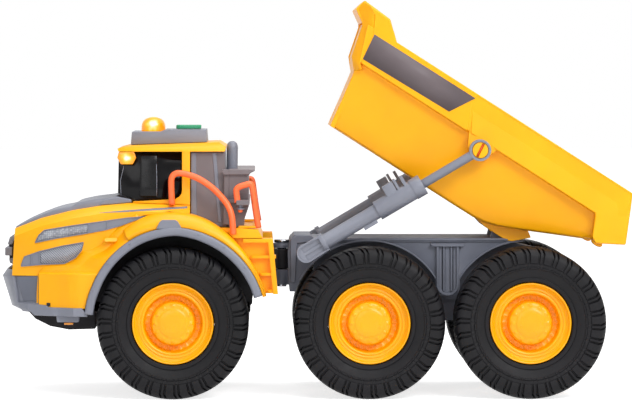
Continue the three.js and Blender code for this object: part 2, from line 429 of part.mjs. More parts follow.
const STEP_Z = DECK_Z - DECK_H - 0.4;
const LADDER_Z = 55.1;
const LADDER_IN = BODY_W - 12;
const ladderEnd = ARCH_BACK + LADDER_BACK;
const tread = (z) => box(ARCH_BACK - 9, ladderEnd - 1.1, LADDER_IN + 2, BODY_W - 1, z - 1.6, z);
const ladder = union(
  prism([[ARCH_BACK - 13.5, STEP_Z], [ARCH_BACK - 13.5, LADDER_Z], [ladderEnd - 0.3, LADDER_Z],
    [ladderEnd - 2.8, STEP_Z]], LADDER_IN, LADDER_IN + 2.4),
  prism([[ladderEnd - 5.4, STEP_Z], [ladderEnd - 2.8, STEP_Z], [ladderEnd, LADDER_Z], [ladderEnd - 2.6, LADDER_Z]],
    LADDER_IN + 2, BODY_W),
  prism([[ARCH_BACK - 13.4, STEP_Z], [ladderEnd - 2.8, STEP_Z], [ladderEnd - 2.7, STEP_Z - 2],
    [ARCH_BACK - 13.4, STEP_Z - 2]], LADDER_IN, BODY_W),
  ...[75.6, 66.4, 57.4].map(tread));
sides('ladder', cut(ladder, fenderRoom), YELLOW);

// ---------------------------------------------------------------- front chassis and hitch
const CHASSIS_X = [PANEL_X + 4.4, ARCH_BACK - 4.7];
const CHASSIS_TOP = DECK_Z - DECK_H - GAP;
const across = (x0, x1, z0, z1) => box(x0, x1, -CHASSIS_W, CHASSIS_W, z0, z1);
const axleBlock = (x, w, top) => prism(
  [[x - 10, top], [x - 7, AXLE_Z - 6], [x + 7, AXLE_Z - 6], [x + 10, top]], -w, w);
const keelBack = CHASSIS_X[0] + 24;
const keel = prism([[PANEL_X - 7.6, 44.8], [PANEL_X - 3.6, 40.5], [CHASSIS_X[0], 36.5], [CHASSIS_X[0] + 10, 34.6],
  [keelBack, 35], [keelBack, 44.5], [CHASSIS_X[0], 50]], -CHASSIS_W, CHASSIS_W);
const TONGUE_H = 10.5;                         // upper knuckle, over the joint
named('front_chassis', cut(union(
  across(...CHASSIS_X, 44, 50),
  both(box(...CHASSIS_X, CHASSIS_W - 3, CHASSIS_W, 44, CHASSIS_TOP)),
  both(box(FRONT_X - ARCH_R - 2, FRONT_X - GAP, CHASSIS_W - 3, CHASSIS_W, 44, AXLE_Z + ARCH_R + 0.6)),
  across(CHASSIS_X[1] - 3, CHASSIS_X[1], 44, CHASSIS_TOP), keel,
  axleBlock(FRONT_X, CHASSIS_W, 46), axleTube(FRONT_X),
  box(CHASSIS_X[1] - 2, HITCH_X - 4, -6, 6, HITCH_Z + 0.5, HITCH_Z + 0.5 + TONGUE_H),
  post(HITCH_R, HITCH_X, 0, HITCH_Z + 0.5, HITCH_Z + 0.5 + TONGUE_H)),
post(HITCH_PIN_R + PLAY, HITCH_X, 0, HITCH_Z - 5, HITCH_Z + 20), axleBore(FRONT_X),
box(NOSE_TIP, PANEL_X + 2.8, -CHASSIS_W - 5, CHASSIS_W + 5, 45.1, DECK_Z)), DARK);

// ---------------------------------------------------------------- rear frame
const BLOCK_X = HITCH_X + 3;                   // front face of the frame's front block
const WEB_Z = 53;                              // lower edge of the webs between the wheels
const frameSide = [[BLOCK_X + 0.5, 60], [BLOCK_X, RAIL_Z - 7.8], [BLOCK_X + 1, RAIL_Z - 1.2],
  [BLOCK_X + 3.4, RAIL_Z + 1.5], [BLOCK_X + 12, RAIL_Z + 1.5], [BLOCK_X + 13, RAIL_Z], [PIVOT_X + 2.5, RAIL_Z],
  [REAR_X + 2.2, RAIL_Z - 2.7], [RAIL_END, RAIL_Z - 6.5], [RAIL_END, RAIL_Z - 17.8],
  [REAR_X - WHEEL_R + 1.2, WEB_Z], [MID_X - WHEEL_R + 16, WEB_Z], [BLOCK_X + 9, 55.2], [BLOCK_X + 1, 55.2]];
const archCut = (x) => disc(WHEEL_R + 2, x, AXLE_Z, -RAIL_W - 2, RAIL_W + 2, 48);
const BOSS_X = (MID_X + REAR_X) / 2;           // stiffener between the wheels
const bossSide = [[-6.5, WEB_Z + 2], [-4, WEB_Z - 0.2], [4, WEB_Z - 0.2], [6.5, WEB_Z + 2], [6.5, RAIL_Z - 3.7],
  [-6.5, RAIL_Z - 3.7]].map(([x, z]) => [BOSS_X + x, z]);
const slot = (x) => box(BOSS_X + x - 0.9, BOSS_X + x + 0.9, RAIL_W - 0.4, RAIL_W + 2, WEB_Z + 3, RAIL_Z - 4.8);
const SPINE_W = 10;
const EAR = [SPINE_W + 3.4, SPINE_W + 7];      // hinge ear, inner and outer face
const EAR_R = HINGE_R + 1.6;
const hingeEar = union(disc(EAR_R, PIVOT_X, PIVOT_Z, ...EAR, 20), prism([[PIVOT_X - 5, RAIL_Z - 1],
  [PIVOT_X + 4.4, RAIL_Z - 1], [PIVOT_X + EAR_R, PIVOT_Z], [PIVOT_X - EAR_R, PIVOT_Z]], ...EAR));
const FOOT_PIN_R = 3.4;
const footPin = disc(FOOT_PIN_R, FOOT_X, FOOT_Z, RAIL_W - 1, CYL_Y - 3, 20);
const spine = box(BLOCK_X + 14, RAIL_END, -SPINE_W, SPINE_W, WEB_Z - 3, RAIL_Z - 1);
const tailSlope = pairHull([[PIVOT_X + 1.5, 2 * RAIL_W, RAIL_Z + 3], [PIVOT_X + 1.5, 2 * RAIL_W, RAIL_Z - 1.6],
  [RAIL_END + 1, 2 * RAIL_W, RAIL_Z - 7.8], [RAIL_END + 1, 2 * RAIL_W, RAIL_Z + 11]]);
const UPPER_Z = HITCH_Z + 1 + TONGUE_H;        // underside of the frame's upper lug
const lug = (w, r, z0, z1) => union(box(HITCH_X, BLOCK_X + 2, -w, w, z0, z1), post(r, HITCH_X, 0, z0, z1));
named('rear_frame', cut(union(
  cut(prism(frameSide, -RAIL_W, RAIL_W),
    box(BLOCK_X + 7, RAIL_END + 9, -RAIL_W + 3, RAIL_W - 3, AXLE_Z, RAIL_Z - 2.4), archCut(MID_X), archCut(REAR_X)),
  box(BLOCK_X + 3, PIVOT_X + 1.5, -RAIL_W - 1, RAIL_W + 1, RAIL_Z - 2, RAIL_Z), spine.subtract(tailSlope),
  axleBlock(MID_X, SPINE_W, WEB_Z - 1), axleBlock(REAR_X, SPINE_W, WEB_Z - 1), axleTube(MID_X), axleTube(REAR_X),
  both(prism(bossSide, RAIL_W - 3, RAIL_W + 1)), both(hingeEar), both(footPin),
  box(BOSS_X - 10.4, BOSS_X + 10.6, -SPINE_W + 2, SPINE_W - 2, AXLE_Z - 1.4, WEB_Z - 1),
  lug(6, HITCH_R, HITCH_Z - 8.2, HITCH_Z), lug(5, HITCH_R - 0.9, UPPER_Z, UPPER_Z + 2.5)),
both(slot(-2.2)), both(slot(2.2)), axleBore(MID_X), axleBore(REAR_X),
post(HITCH_PIN_R + GAP, HITCH_X, 0, HITCH_Z - 12, HITCH_Z + 20),
disc(HINGE_R + GAP, PIVOT_X, PIVOT_Z, -EAR[1] - 3, EAR[1] + 3, 16),
post(HITCH_R + 0.9, HITCH_X, 0, HITCH_Z, UPPER_Z), post(4.6, HITCH_X, 0, UPPER_Z + 2.5, RAIL_Z + 10)), DARK);
named('hitch_pin', union(post(HITCH_PIN_R, HITCH_X, 0, HITCH_Z - 9.5, UPPER_Z + 3.5),
  post(4.2, HITCH_X, 0, UPPER_Z + 2.8, UPPER_Z + 4.5)), STEEL);
named('bed_hinge_pin', disc(HINGE_R, PIVOT_X, PIVOT_Z, -EAR[1] - 2.5, EAR[1] + 2.5, 16), STEEL);

// ---------------------------------------------------------------- dump bed, built lowered about its hinge
const placeBed = (body) => body.rotate([0, THREE.MathUtils.radToDeg(TILT), 0]).translate([PIVOT_X, 0, PIVOT_Z]);
const HULL_W = BED_W - 4.9;                    // hull under the side bands
const FLOOR_W = BED_W - 11.5;
const INNER_Z = BED_FLOOR + WALL;
const bedHull = pairHull([[BED_FRONT, FLOOR_W, BED_FLOOR], [-6, FLOOR_W, BED_FLOOR],
  [BED_TAIL - 20, FLOOR_W + 3, BED_FLOOR + 19.8], [BED_TAIL, HULL_W - 0.6, BED_FLOOR + 31.3],
  [BED_FRONT - 10, HULL_W, BAND_Z + 1], [BED_FRONT - 5.8, HULL_W - 1, BAND_Z - 5.4],
  [BED_TAIL - 2.2, HULL_W, BAND_Z + 1]]);
const [bossX, bossZ] = EYE;
const band = both(union(
  prism([[BED_FRONT - 9.6, BAND_Z], [BED_FRONT - 15.2, BED_RIM - 0.4], [bossX - 14.8, BED_RIM],
    [bossX - 10.8, BAND_Z]], FLOOR_W - 2, BED_W - 0.9),
  prism([[bossX - 10.8, BAND_Z], [bossX - 16.8, BED_RIM], [BED_TAIL - 11.3, BED_RIM], [BED_TAIL, BED_FLOOR + 31.3],
    [BED_TAIL - 14.4, BED_FLOOR + 25.8], [BED_TAIL - 20.3, BAND_Z]], FLOOR_W - 2, BED_W),
  prism([[bossX - 15.6, bossZ + 22.8], [bossX - 8.8, bossZ + 7.3], [bossX - 6.8, bossZ + 1.2],
    [bossX + 7.4, bossZ + 0.3], [bossX + 11.7, bossZ + 11.1]], FLOOR_W - 2, BED_W)));
const frontWall = prism([[BED_FRONT - 1.6, BED_FLOOR + 12.5], [BED_FRONT - 4.6, BAND_Z - 6.4],
  [BED_FRONT - 15.2, BED_RIM - 0.4], [BED_FRONT + 6.8, BED_RIM]], -HULL_W + 0.6, HULL_W - 0.6);
const guardLine = [[-15.2, -1], [-24.2, 3.2], [-22.6, 9.7], [-5.7, 8.6], [5.2, 0], [4.4, -1.4]].map(
  ([x, z]) => [BED_FRONT + x, BED_RIM + z]);
const guard = prism(guardLine, -HULL_W + 0.6, HULL_W - 0.6);
const cheeks = both(prism(guardLine, HULL_W - 0.6 - WALL, HULL_W - 0.6));
// the floor: level, then up over the hinge and on along the tail ramp; x, half width, height
const floorLine = [[BED_FRONT + 2.8, FLOOR_W - 2.6, INNER_Z], [-30, FLOOR_W - 2.6, INNER_Z], [-12, FLOOR_W - 2, 7],
  [8, FLOOR_W - 1, 9.6], [BED_TAIL + 6.8, HULL_W - 2.2, 35]];
const COVE_Z = BAND_Z + 2;
const cavity = union(...floorLine.slice(1).map(([x1, w1, z1], i) => {
  const [x0, w0, z0] = floorLine[i];
  const front = i === 0 ? [[x0 - 6, HULL_W - 2.8, 29], [x0 - 9.4, HULL_W - 2.2, COVE_Z]]
    : [[x0, HULL_W - 2.2, COVE_Z]];
  return pairHull([[x0, w0, z0], [x1, w1, z1], ...front, [x1, HULL_W - 2.2, COVE_Z]]);
}), prism([[BED_FRONT - 6.6, COVE_Z], [BED_FRONT - 12.2, BED_RIM + 6.2], [BED_FRONT - 3.4, BED_RIM + 6.2],
  [BED_FRONT + 6.4, BED_RIM + 16], [BED_TAIL + 7, BED_RIM + 16], [BED_TAIL + 7, COVE_Z]],
-BED_W + BED_WALL + 0.6, BED_W - BED_WALL - 0.6));
const guardHollow = prism([[-7.6, COVE_Z], [-12.6, BED_RIM + 1], [-20.6, BED_RIM + 4.8], [-19.8, BED_RIM + 7.2],
  [-6.6, BED_RIM + 6.3], [3.8, BED_RIM - 2], [14.4, COVE_Z + 4]].map(([x, z]) => [BED_FRONT + x, z]),
-HULL_W + 4.6, HULL_W - 4.6);
const bedEar = union(disc(HINGE_R + 2, 0, 0, EAR[0] - 4.4, EAR[0] - 0.6, 20),
  box(-HINGE_R - 2, HINGE_R + 2, EAR[0] - 4.4, EAR[0] - 0.6, 0, 6.2));
named('dump_bed', placeBed(cut(union(
  cut(union(bedHull, band, frontWall, guard), cavity, guardHollow,
    box(-9, 10, -EAR[1] - 2, EAR[1] + 2, BED_FLOOR - 3.5, 4.4)), both(bedEar), cheeks),
disc(HINGE_R + PLAY, 0, 0, -RAIL_W, RAIL_W, 16))), YELLOW);

// ---------------------------------------------------------------- tipping cylinders, built along +x
const eyeWhen = (tilt) => {
  const x = PIVOT_X + bossX * Math.cos(tilt) + bossZ * Math.sin(tilt) - FOOT_X;
  const z = PIVOT_Z - bossX * Math.sin(tilt) + bossZ * Math.cos(tilt) - FOOT_Z;
  return [Math.hypot(x, z), THREE.MathUtils.radToDeg(Math.atan2(z, x))];
};
const [EYE_AT, LEAN] = eyeWhen(TILT);
const [EYE_LOW] = eyeWhen(0);
const BARREL_L = EYE_LOW - EYE_R - 4.6;        // the eye stops short of the barrel with the bed down
const ROD_IN = BARREL_L - 14.8;                // end of the rod inside the barrel, with the bed up
const placeCylinder = (body) => body.rotate([0, -LEAN, 0]).translate([FOOT_X, CYL_Y, FOOT_Z]);
const FORK = 3.4;                              // half thickness of the foot and the fittings
const lump = (x0, x1, z1) => box(x0, x1, -FORK, FORK, BARREL_R - 1, z1);
const recess = (z0, z1) => box(-1, 9.4, FORK - 0.8, FORK + 2, z0, z1);
sides('cylinder_barrel', placeCylinder(cut(union(
  disc(5, 0, 0, -FORK, FORK, 24), box(0, 12, -FORK, FORK, -4.6, 4.6),
  bar(BARREL_R, 10, BARREL_L), bar(BARREL_R + 1.3, 9.6, 12), bar(BARREL_R + 1.25, BARREL_L - 27.8, BARREL_L - 5.5),
  bar(BARREL_R + 1.65, BARREL_L - 6, BARREL_L), lump(BARREL_L - 19.5, BARREL_L - 13.5, 9.8),
  lump(BARREL_L - 12.9, BARREL_L - 11.5, 10.3), lump(BARREL_L - 8.9, BARREL_L - 7.3, 9.8),
  box(BARREL_L - 38.5, BARREL_L - 30.5, -1.6, 1.6, -BARREL_R - 1.5, -BARREL_R + 1)),
recess(0.8, 3.4), recess(-3.4, -0.8), bar(ROD_R + PLAY, 14, BARREL_L + 5),
disc(FOOT_PIN_R + PLAY, 0, 0, -6, -FORK + 4, 20))), GREY);
const eyeHole = disc(EYE_R - 1.35, EYE_AT, 0, -EYE_T, EYE_T, 28);
sides('cylinder_rod', placeCylinder(cut(union(bar(ROD_R, ROD_IN, EYE_AT - 3),
  disc(EYE_R, EYE_AT, 0, -EYE_T / 2, EYE_T / 2, 28)), eyeHole)), GREY);
const pinSlot = box(-EYE_R, EYE_R, EYE_T / 2 - 0.8, EYE_T, -0.7, 0.7).rotate([0, -32.6, 0]);
sides('rod_pin', placeCylinder(cut(
  disc(EYE_R - 1.35 - GAP, EYE_AT, 0, BED_W + GAP - CYL_Y, EYE_T / 2 + 0.4, 28),
  pinSlot.translate([EYE_AT, 0, 0]))), YELLOW);

// ---------------------------------------------------------------- centre on the ground
const around = new THREE.Box3().setFromObject(group);
const middle = around.getCenter(new THREE.Vector3());
for (const mesh of group.children) mesh.geometry.translate(-middle.x, -middle.y, -around.min.z);

export default group;
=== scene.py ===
# Toy articulated dump truck with a raised tipping bed. Sizes are in millimetres until they reach a mesh.
import bmesh
import bpy
import json
import math
from mathutils import Matrix, Vector


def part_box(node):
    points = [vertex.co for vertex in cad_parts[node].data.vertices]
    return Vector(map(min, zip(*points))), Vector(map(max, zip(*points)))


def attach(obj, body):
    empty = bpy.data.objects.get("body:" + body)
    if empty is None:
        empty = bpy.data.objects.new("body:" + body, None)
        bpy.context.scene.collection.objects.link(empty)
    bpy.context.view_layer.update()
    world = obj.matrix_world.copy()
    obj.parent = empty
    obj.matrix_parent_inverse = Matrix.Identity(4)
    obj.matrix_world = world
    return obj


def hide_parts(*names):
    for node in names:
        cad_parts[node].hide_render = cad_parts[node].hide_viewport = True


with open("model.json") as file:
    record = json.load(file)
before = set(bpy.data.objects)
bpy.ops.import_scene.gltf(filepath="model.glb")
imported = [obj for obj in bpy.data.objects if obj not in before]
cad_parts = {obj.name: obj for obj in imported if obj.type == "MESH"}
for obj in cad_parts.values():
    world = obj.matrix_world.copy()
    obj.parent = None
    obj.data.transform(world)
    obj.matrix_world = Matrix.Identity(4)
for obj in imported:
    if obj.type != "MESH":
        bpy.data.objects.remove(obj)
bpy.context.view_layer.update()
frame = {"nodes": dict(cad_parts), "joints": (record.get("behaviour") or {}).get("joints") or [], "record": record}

MM = 0.001

# ------------------------------------------------------------ where things are, in mm
# x from the nose, y from the middle plane, z from the floor
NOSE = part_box("front_bumper")[0].x + 1.1 * MM
TYRE_W, WHEEL_Y = 32, 42                      # tyre width, and its middle from the middle plane


def mid(node):
    """Middle of a node at rest."""
    lo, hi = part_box(node)
    return (lo + hi) / 2


AXLES = {row: (mid(f"tyre_{row}_left").x - NOSE) / MM for row in ("front", "middle", "rear")}
AXLE_Z = mid("tyre_front_left").z / MM
TRUCK = Matrix.Translation((NOSE, 0, 0)) @ Matrix.Scale(MM, 4)

# the bed's own frame: origin on its hinge, x along its floor towards the tail
TILT = math.radians(32.6)
HINGE = next(j for j in frame["joints"] if j["name"] == "bed_tilt")["pos_m"]
BED = Matrix.Translation(HINGE) @ Matrix.Rotation(TILT, 4, "Y") @ Matrix.Scale(MM, 4)

# a cylinder's own frame: origin on its foot pin, x along the rod
STRUT_FOOT = next(j for j in frame["joints"] if j["name"] == "cylinder_pivot_right")["pos_m"]
STRUT_AXIS = Vector(next(j for j in frame["joints"] if j["name"] == "cylinder_stroke_right")["axis"])
STRUT = (Matrix.Translation(STRUT_FOOT) @ Matrix.Rotation(-math.atan2(STRUT_AXIS.z, STRUT_AXIS.x), 4, "Y")
         @ Matrix.Scale(MM, 4))


# ------------------------------------------------------------ colours and nodes
def linear(code):
    """sRGB hex to the linear colour that the sockets take."""
    parts = [int(code[i:i + 2], 16) / 255 for i in (0, 2, 4)]
    return [c / 12.92 if c <= 0.04045 else ((c + 0.055) / 1.055) ** 2.4 for c in parts] + [1]


def add(tree, kind, settings=None, **links):
    """Adds a node, sets its properties and values, and links what comes as a socket. n0, n1 go by number."""
    node = tree.nodes.new("ShaderNode" + kind)
    for key, value in (settings or {}).items():
        setattr(node, key, value)
    for key, value in links.items():
        socket = node.inputs[int(key[1:]) if key[0] == "n" and key[1:].isdigit() else key.replace("_", " ")]
        if isinstance(value, bpy.types.NodeSocket):
            tree.links.new(value, socket)
        else:
            socket.default_value = value
    return node


def blank(name):
    """A material with no nodes yet, and its tree."""
    mat = bpy.data.materials.new(name)
    mat.use_nodes = True
    mat.node_tree.nodes.clear()
    return mat, mat.node_tree


def close(tree, shader):
    add(tree, "OutputMaterial", Surface=shader.outputs[0])


def per_mm(size):
    """Noise scale for features of this size in mm, in object space in metres."""
    return 1 / (size * MM)


def moulded_plastic(name, light, dark, rough, grain_mm, bump, coat=0.0, shine=0.5):
    """Injection-moulded plastic: a faint flow mottling, gloss that drifts, and the mould's own fine texture."""
    mat, tree = blank(name)
    where = add(tree, "TexCoord").outputs["Object"]
    flow = add(tree, "TexNoise", Vector=where, Scale=per_mm(22), Detail=3.0, Roughness=0.5)
    tint = add(tree, "ValToRGB", n0=flow.outputs["Fac"])
    tint.color_ramp.elements[0].position, tint.color_ramp.elements[1].position = 0.3, 0.7
    tint.color_ramp.elements[0].color, tint.color_ramp.elements[1].color = linear(dark), linear(light)
    sheen = add(tree, "TexNoise", Vector=where, Scale=per_mm(6), Detail=4.0, Roughness=0.6)
    gloss = add(tree, "MapRange", Value=sheen.outputs["Fac"], n1=0.3, n2=0.7, n3=rough - 0.05, n4=rough + 0.06)
    grain = add(tree, "TexNoise", Vector=where, Scale=per_mm(grain_mm), Detail=2.0, Roughness=0.6)
    relief = add(tree, "Bump", Strength=bump, Distance=0.1 * MM, Height=grain.outputs["Fac"])
    skin = add(tree, "BsdfPrincipled", Base_Color=tint.outputs["Color"], Roughness=gloss.outputs["Result"],
               IOR=1.53, Normal=relief.outputs["Normal"], Coat_Weight=coat, Coat_Roughness=0.12,
               Specular_IOR_Level=shine)
    close(tree, skin)
    return mat


def glowing_lens(name, heart, reach_mm):
    """Clear amber plastic over a lit diode: white-hot at its heart, then yellow, then deep amber at the rim."""
    mat, tree = blank(name)
    where = add(tree, "TexCoord").outputs["Object"]
    axis = add(tree, "Mapping", Vector=where, Location=(-heart[0], 0, -heart[2]), Scale=(1, 0, 1))
    far = add(tree, "VectorMath", {"operation": "LENGTH"}, n0=axis.outputs["Vector"])
    facets = add(tree, "TexVoronoi", Vector=where, Scale=per_mm(2.6))
    spread = add(tree, "MapRange", Value=facets.outputs["Distance"], n1=0.0, n2=1.0, n3=-0.5 * MM, n4=1.2 * MM)
    ring = add(tree, "Math", {"operation": "ADD"}, n0=far.outputs["Value"], n1=spread.outputs["Result"])
    glow = add(tree, "MapRange", Value=ring.outputs[0], n1=0.0, n2=reach_mm * MM, n3=1.0, n4=0.0)
    tint = add(tree, "ValToRGB", n0=glow.outputs["Result"])
    ramp = tint.color_ramp
    ramp.elements[0].position, ramp.elements[0].color = 0.05, linear("e58506")
    ramp.elements[1].position, ramp.elements[1].color = 0.8, linear("ffffff")
    for place, code in ((0.32, "f7a00c"), (0.52, "ffc31e"), (0.66, "ffe98c")):
        stop = ramp.elements.new(place)
        stop.color = linear(code)
    skin = add(tree, "BsdfPrincipled", Base_Color=linear("8a4a04"), Roughness=0.12, IOR=1.49,
               Emission_Color=tint.outputs["Color"], Emission_Strength=1.0)
    close(tree, skin)
    return mat


def ribbed_plastic_painted_shade(name, light, dark, rough, pitch_mm, turn, depth):
    """Grey plastic cut with fine parallel ribs, with painted highlight on their backs and painted shade between them.
    """
    mat, tree = blank(name)
    where = add(tree, "TexCoord").outputs["Object"]
    turned_to = add(tree, "Mapping", Vector=where, Rotation=(0, math.radians(turn), 0))
    ribs = add(tree, "TexWave", Vector=turned_to.outputs["Vector"], Scale=math.pi / 10 * per_mm(pitch_mm),
               Distortion=0.0)
    tint = add(tree, "ValToRGB", n0=ribs.outputs["Fac"])
    tint.color_ramp.elements[0].position, tint.color_ramp.elements[1].position = 0.15, 0.75
    tint.color_ramp.elements[0].color, tint.color_ramp.elements[1].color = linear(dark), linear(light)
    worn = add(tree, "TexNoise", Vector=where, Scale=per_mm(5), Detail=3.0)
    gloss = add(tree, "MapRange", Value=worn.outputs["Fac"], n1=0.3, n2=0.7, n3=rough - 0.06, n4=rough + 0.08)
    relief = add(tree, "Bump", Strength=0.9, Distance=depth * MM, Height=ribs.outputs["Fac"])
    skin = add(tree, "BsdfPrincipled", Base_Color=tint.outputs["Color"], Roughness=gloss.outputs["Result"],
               IOR=1.53, Normal=relief.outputs["Normal"])
    close(tree, skin)
    return mat


def pebbled_plastic_painted_shade(name, light, dark, rough, pebble_mm, depth):
    """Grey plastic moulded as a field of small cells, as a mesh screen is shown on a toy, lighter on each cell with
    painted shade in the gaps between.
    """
    mat, tree = blank(name)
    where = add(tree, "TexCoord").outputs["Object"]
    cells = add(tree, "TexVoronoi", Vector=where, Scale=per_mm(pebble_mm), Randomness=0.35)
    tint = add(tree, "ValToRGB", n0=cells.outputs["Distance"])
    tint.color_ramp.elements[0].position, tint.color_ramp.elements[1].position = 0.2, 0.62
    tint.color_ramp.elements[0].color, tint.color_ramp.elements[1].color = linear(light), linear(dark)
    relief = add(tree, "Bump", {"invert": True}, Strength=0.9, Distance=depth * MM,
                 Height=cells.outputs["Distance"])
    skin = add(tree, "BsdfPrincipled", Base_Color=tint.outputs["Color"], Roughness=rough, IOR=1.53,
               Normal=relief.outputs["Normal"])
    close(tree, skin)
    return mat


# ABS, moulded in a semi-gloss tool: warm yellow that goes deeper where the flow slowed
YELLOW_ABS = moulded_plastic("moulded_yellow_abs", "ffb304", "fcaa02", 0.36, 0.5, 0.05, shine=0.28)
# polypropylene wheel centres: the same yellow, a little redder and glossier
RIM_PP = moulded_plastic("moulded_yellow_polypropylene", "ffb000", "fba600", 0.3, 0.5, 0.04, shine=0.34)
# unpainted grey ABS with a fine spark-eroded texture
GREY_ABS = moulded_plastic("textured_grey_abs", "7d808c", "727581", 0.42, 0.45, 0.1)
# darker grey polypropylene of the frames, duller from its coarser tool
FRAME_PP = moulded_plastic("textured_dark_grey_polypropylene", "666a77", "585b66", 0.48, 0.6, 0.12, shine=0.4)
# black polypropylene, the belly's own colour; in the wheel housings, behind the bumper and in the cheek's notch the
# same black is painted shade
BLACK_PP_AND_SHADE = moulded_plastic("black_polypropylene_and_painted_shade", "1b191e", "131216", 0.55, 0.6, 0.15, shine=0.25)
# black gloss ABS of the mock windows, near a mirror where it catches a lamp
WINDOW_ABS = moulded_plastic("polished_black_abs", "08070a", "040305", 0.16, 1.5, 0.02, shine=0.14)
# the same in a softer polish, where a pane stands out from its frame
PANE_ABS = moulded_plastic("satin_black_abs", "09090c", "050507", 0.26, 1.5, 0.02, shine=0.2)
# soft PVC tyres, matt with a dusty bloom
TYRE_PVC = moulded_plastic("soft_black_pvc", "100f13", "0a0a0d", 0.55, 0.5, 0.15, shine=0.2)
# orange polyethylene rails, soft satin
RAIL_PE = moulded_plastic("orange_polyethylene", "ff7238", "fa672c", 0.36, 0.5, 0.05)
# green ABS push button
BUTTON_ABS = moulded_plastic("green_abs", "339f70", "2b9265", 0.38, 0.5, 0.05)
# painted shade: a red-orange that stands for the shade deep in the pins' screwdriver slots
SLOT_PAINTED_SHADE = moulded_plastic("painted_slot_shade_orange", "d8560a", "c44c08", 0.5, 0.5, 0.05)
# bare vinyl sticker, warm grey
STICKER_VINYL = moulded_plastic("warm_grey_vinyl", "6b6164", "635a5d", 0.42, 0.35, 0.03, shine=0.2)
# painted shade: the same grey ABS painted darker and warmer, for the panels behind the cab and the air cleaner
GREY_ABS_PAINTED_SHADE = moulded_plastic("grey_abs_painted_shade", "7b7274", "6d6568", 0.42, 0.5, 0.08, shine=0.3)
# mock radiator screens on the hood, with painted highlight and painted shade on their ribs and cells
RIBBED_ABS = ribbed_plastic_painted_shade("ribbed_grey_abs_painted_shade", "9da0a9", "71747e", 0.4, 0.95, 45, 0.25)
PEBBLED_ABS = pebbled_plastic_painted_shade("pebbled_grey_abs_painted_shade", "b2b5bc", "80838c", 0.4, 1.1, 0.2)
# clear amber acrylic, lit from inside, for the roof beacon and for each lamp at the cab's front corners
BEACON_LENS = glowing_lens("lit_amber_acrylic_beacon", mid("beacon"), 7.6)
LAMP_LENS = glowing_lens("lit_amber_acrylic_lamp", mid("cab_lamp_left"), 5.8)
# clear amber acrylic, unlit
AMBER_LENS = moulded_plastic("amber_acrylic", "ffa31a", "f5930c", 0.15, 1.0, 0.03, coat=0.4)
# drawn steel of the axles and pins: bright, its gloss drifting a little; a metal, so with the plain IOR
STEEL = moulded_plastic("bright_drawn_steel", "b9bbbf", "a9abb0", 0.25, 0.8, 0.05)
for socket, value in (("Metallic", 1.0), ("IOR", 1.5)):
    STEEL.node_tree.nodes["Principled BSDF"].inputs[socket].default_value = value

LOOKS = {"yellow": YELLOW_ABS, "rim": RIM_PP, "grey": GREY_ABS, "dark": FRAME_PP, "black": WINDOW_ABS,
         "tyre": TYRE_PVC, "orange": RAIL_PE, "amber": AMBER_LENS, "green": BUTTON_ABS, "steel": STEEL}


# ------------------------------------------------------------ making pieces
def dress(obj, look):
    """Gives an object one material."""
    obj.data.materials.clear()
    obj.data.materials.append(look)


def round_edges(obj, width):
    """Bevels the sharp edges, for the small radii of a mould."""
    edge = obj.modifiers.new("edge", "BEVEL")
    edge.width = width * MM
    edge.segments = 2
    edge.limit_method = "ANGLE"
    edge.angle_limit = math.radians(32)
    edge.harden_normals = True


def soften(obj, width):
    """Joins the flat facets of a CAD solid and rounds its edges."""
    weld = obj.modifiers.new("weld", "WELD")
    weld.merge_threshold = 0.002 * MM
    flat = obj.modifiers.new("flat", "DECIMATE")
    flat.decimate_type = "DISSOLVE"
    flat.angle_limit = math.radians(1.5)
    round_edges(obj, width)
    obj.data.shade_smooth()


def piece(name, bm, place, body, slot, nodes=(), look=None, edge=0.3, crisp=0):
    """Makes one piece from a mesh in mm, in a local frame, and sets it riding on its body."""
    bmesh.ops.transform(bm, matrix=place, verts=bm.verts)
    bmesh.ops.remove_doubles(bm, verts=bm.verts, dist=0.0005 * MM)
    bmesh.ops.recalc_face_normals(bm, faces=bm.faces)
    mesh = bpy.data.meshes.new(name)
    bm.to_mesh(mesh)
    bm.free()
    obj = bpy.data.objects.new(name, mesh)
    bpy.context.scene.collection.objects.link(obj)
    dress(obj, look or LOOKS[slot])
    mesh.shade_smooth()
    if crisp:
        mesh.set_sharp_from_angle(angle=math.radians(crisp))
    if edge:
        round_edges(obj, edge)
    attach(obj, body)
    if nodes:
        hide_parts(*nodes)
    return obj


FLIP = Matrix.Scale(-1, 4, (0, 1, 0))


def pair(name, make, place, body, slot, node=None, **rest):
    """The same piece on the right and, mirrored, on the left. {} in a name stands for the side."""
    for side, turn in (("right", Matrix.Identity(4)), ("left", FLIP)):
        nodes = [node.format(side)] if node else ()
        piece(f"{name}_{side}", make(), turn @ place, body.format(side), slot, nodes=nodes, **rest)


def front_piece(name, bm, slot, **rest):
    piece(name, bm, TRUCK, "front_unit", slot, **rest)


def front_pair(name, make, slot, **rest):
    pair(name, make, TRUCK, "front_unit", slot, **rest)


def bed_pair(name, make, **rest):
    pair(name, make, BED, "dump_bed", "yellow", **rest)


def frame_pair(name, make, **rest):
    pair(name, make, TRUCK, "rear_frame", "dark", **rest)


def grid(rings, ends=True, loop=False):
    """Faces between closed rings of points that match one to one."""
    bm = bmesh.new()
    rows = [[bm.verts.new(p) for p in ring] for ring in rings]
    count = len(rows[0])
    for a, b in list(zip(rows, rows[1:])) + ([(rows[-1], rows[0])] if loop else []):
        for i in range(count):
            j = (i + 1) % count
            bm.faces.new((a[i], a[j], b[j], b[i]))
    if ends and not loop:
        bm.faces.new(rows[0][::-1])
        bm.faces.new(rows[-1])
    return bm


def prism(outline, y0, y1):
    """An outline in x, z between two y."""
    return grid([[(x, y, z) for x, z in outline] for y in (y0, y1)])


def slab(outline, z0, z1):
    """An outline in x, y between two z."""
    return grid([[(x, y, z) for x, y in outline] for z in (z0, z1)])


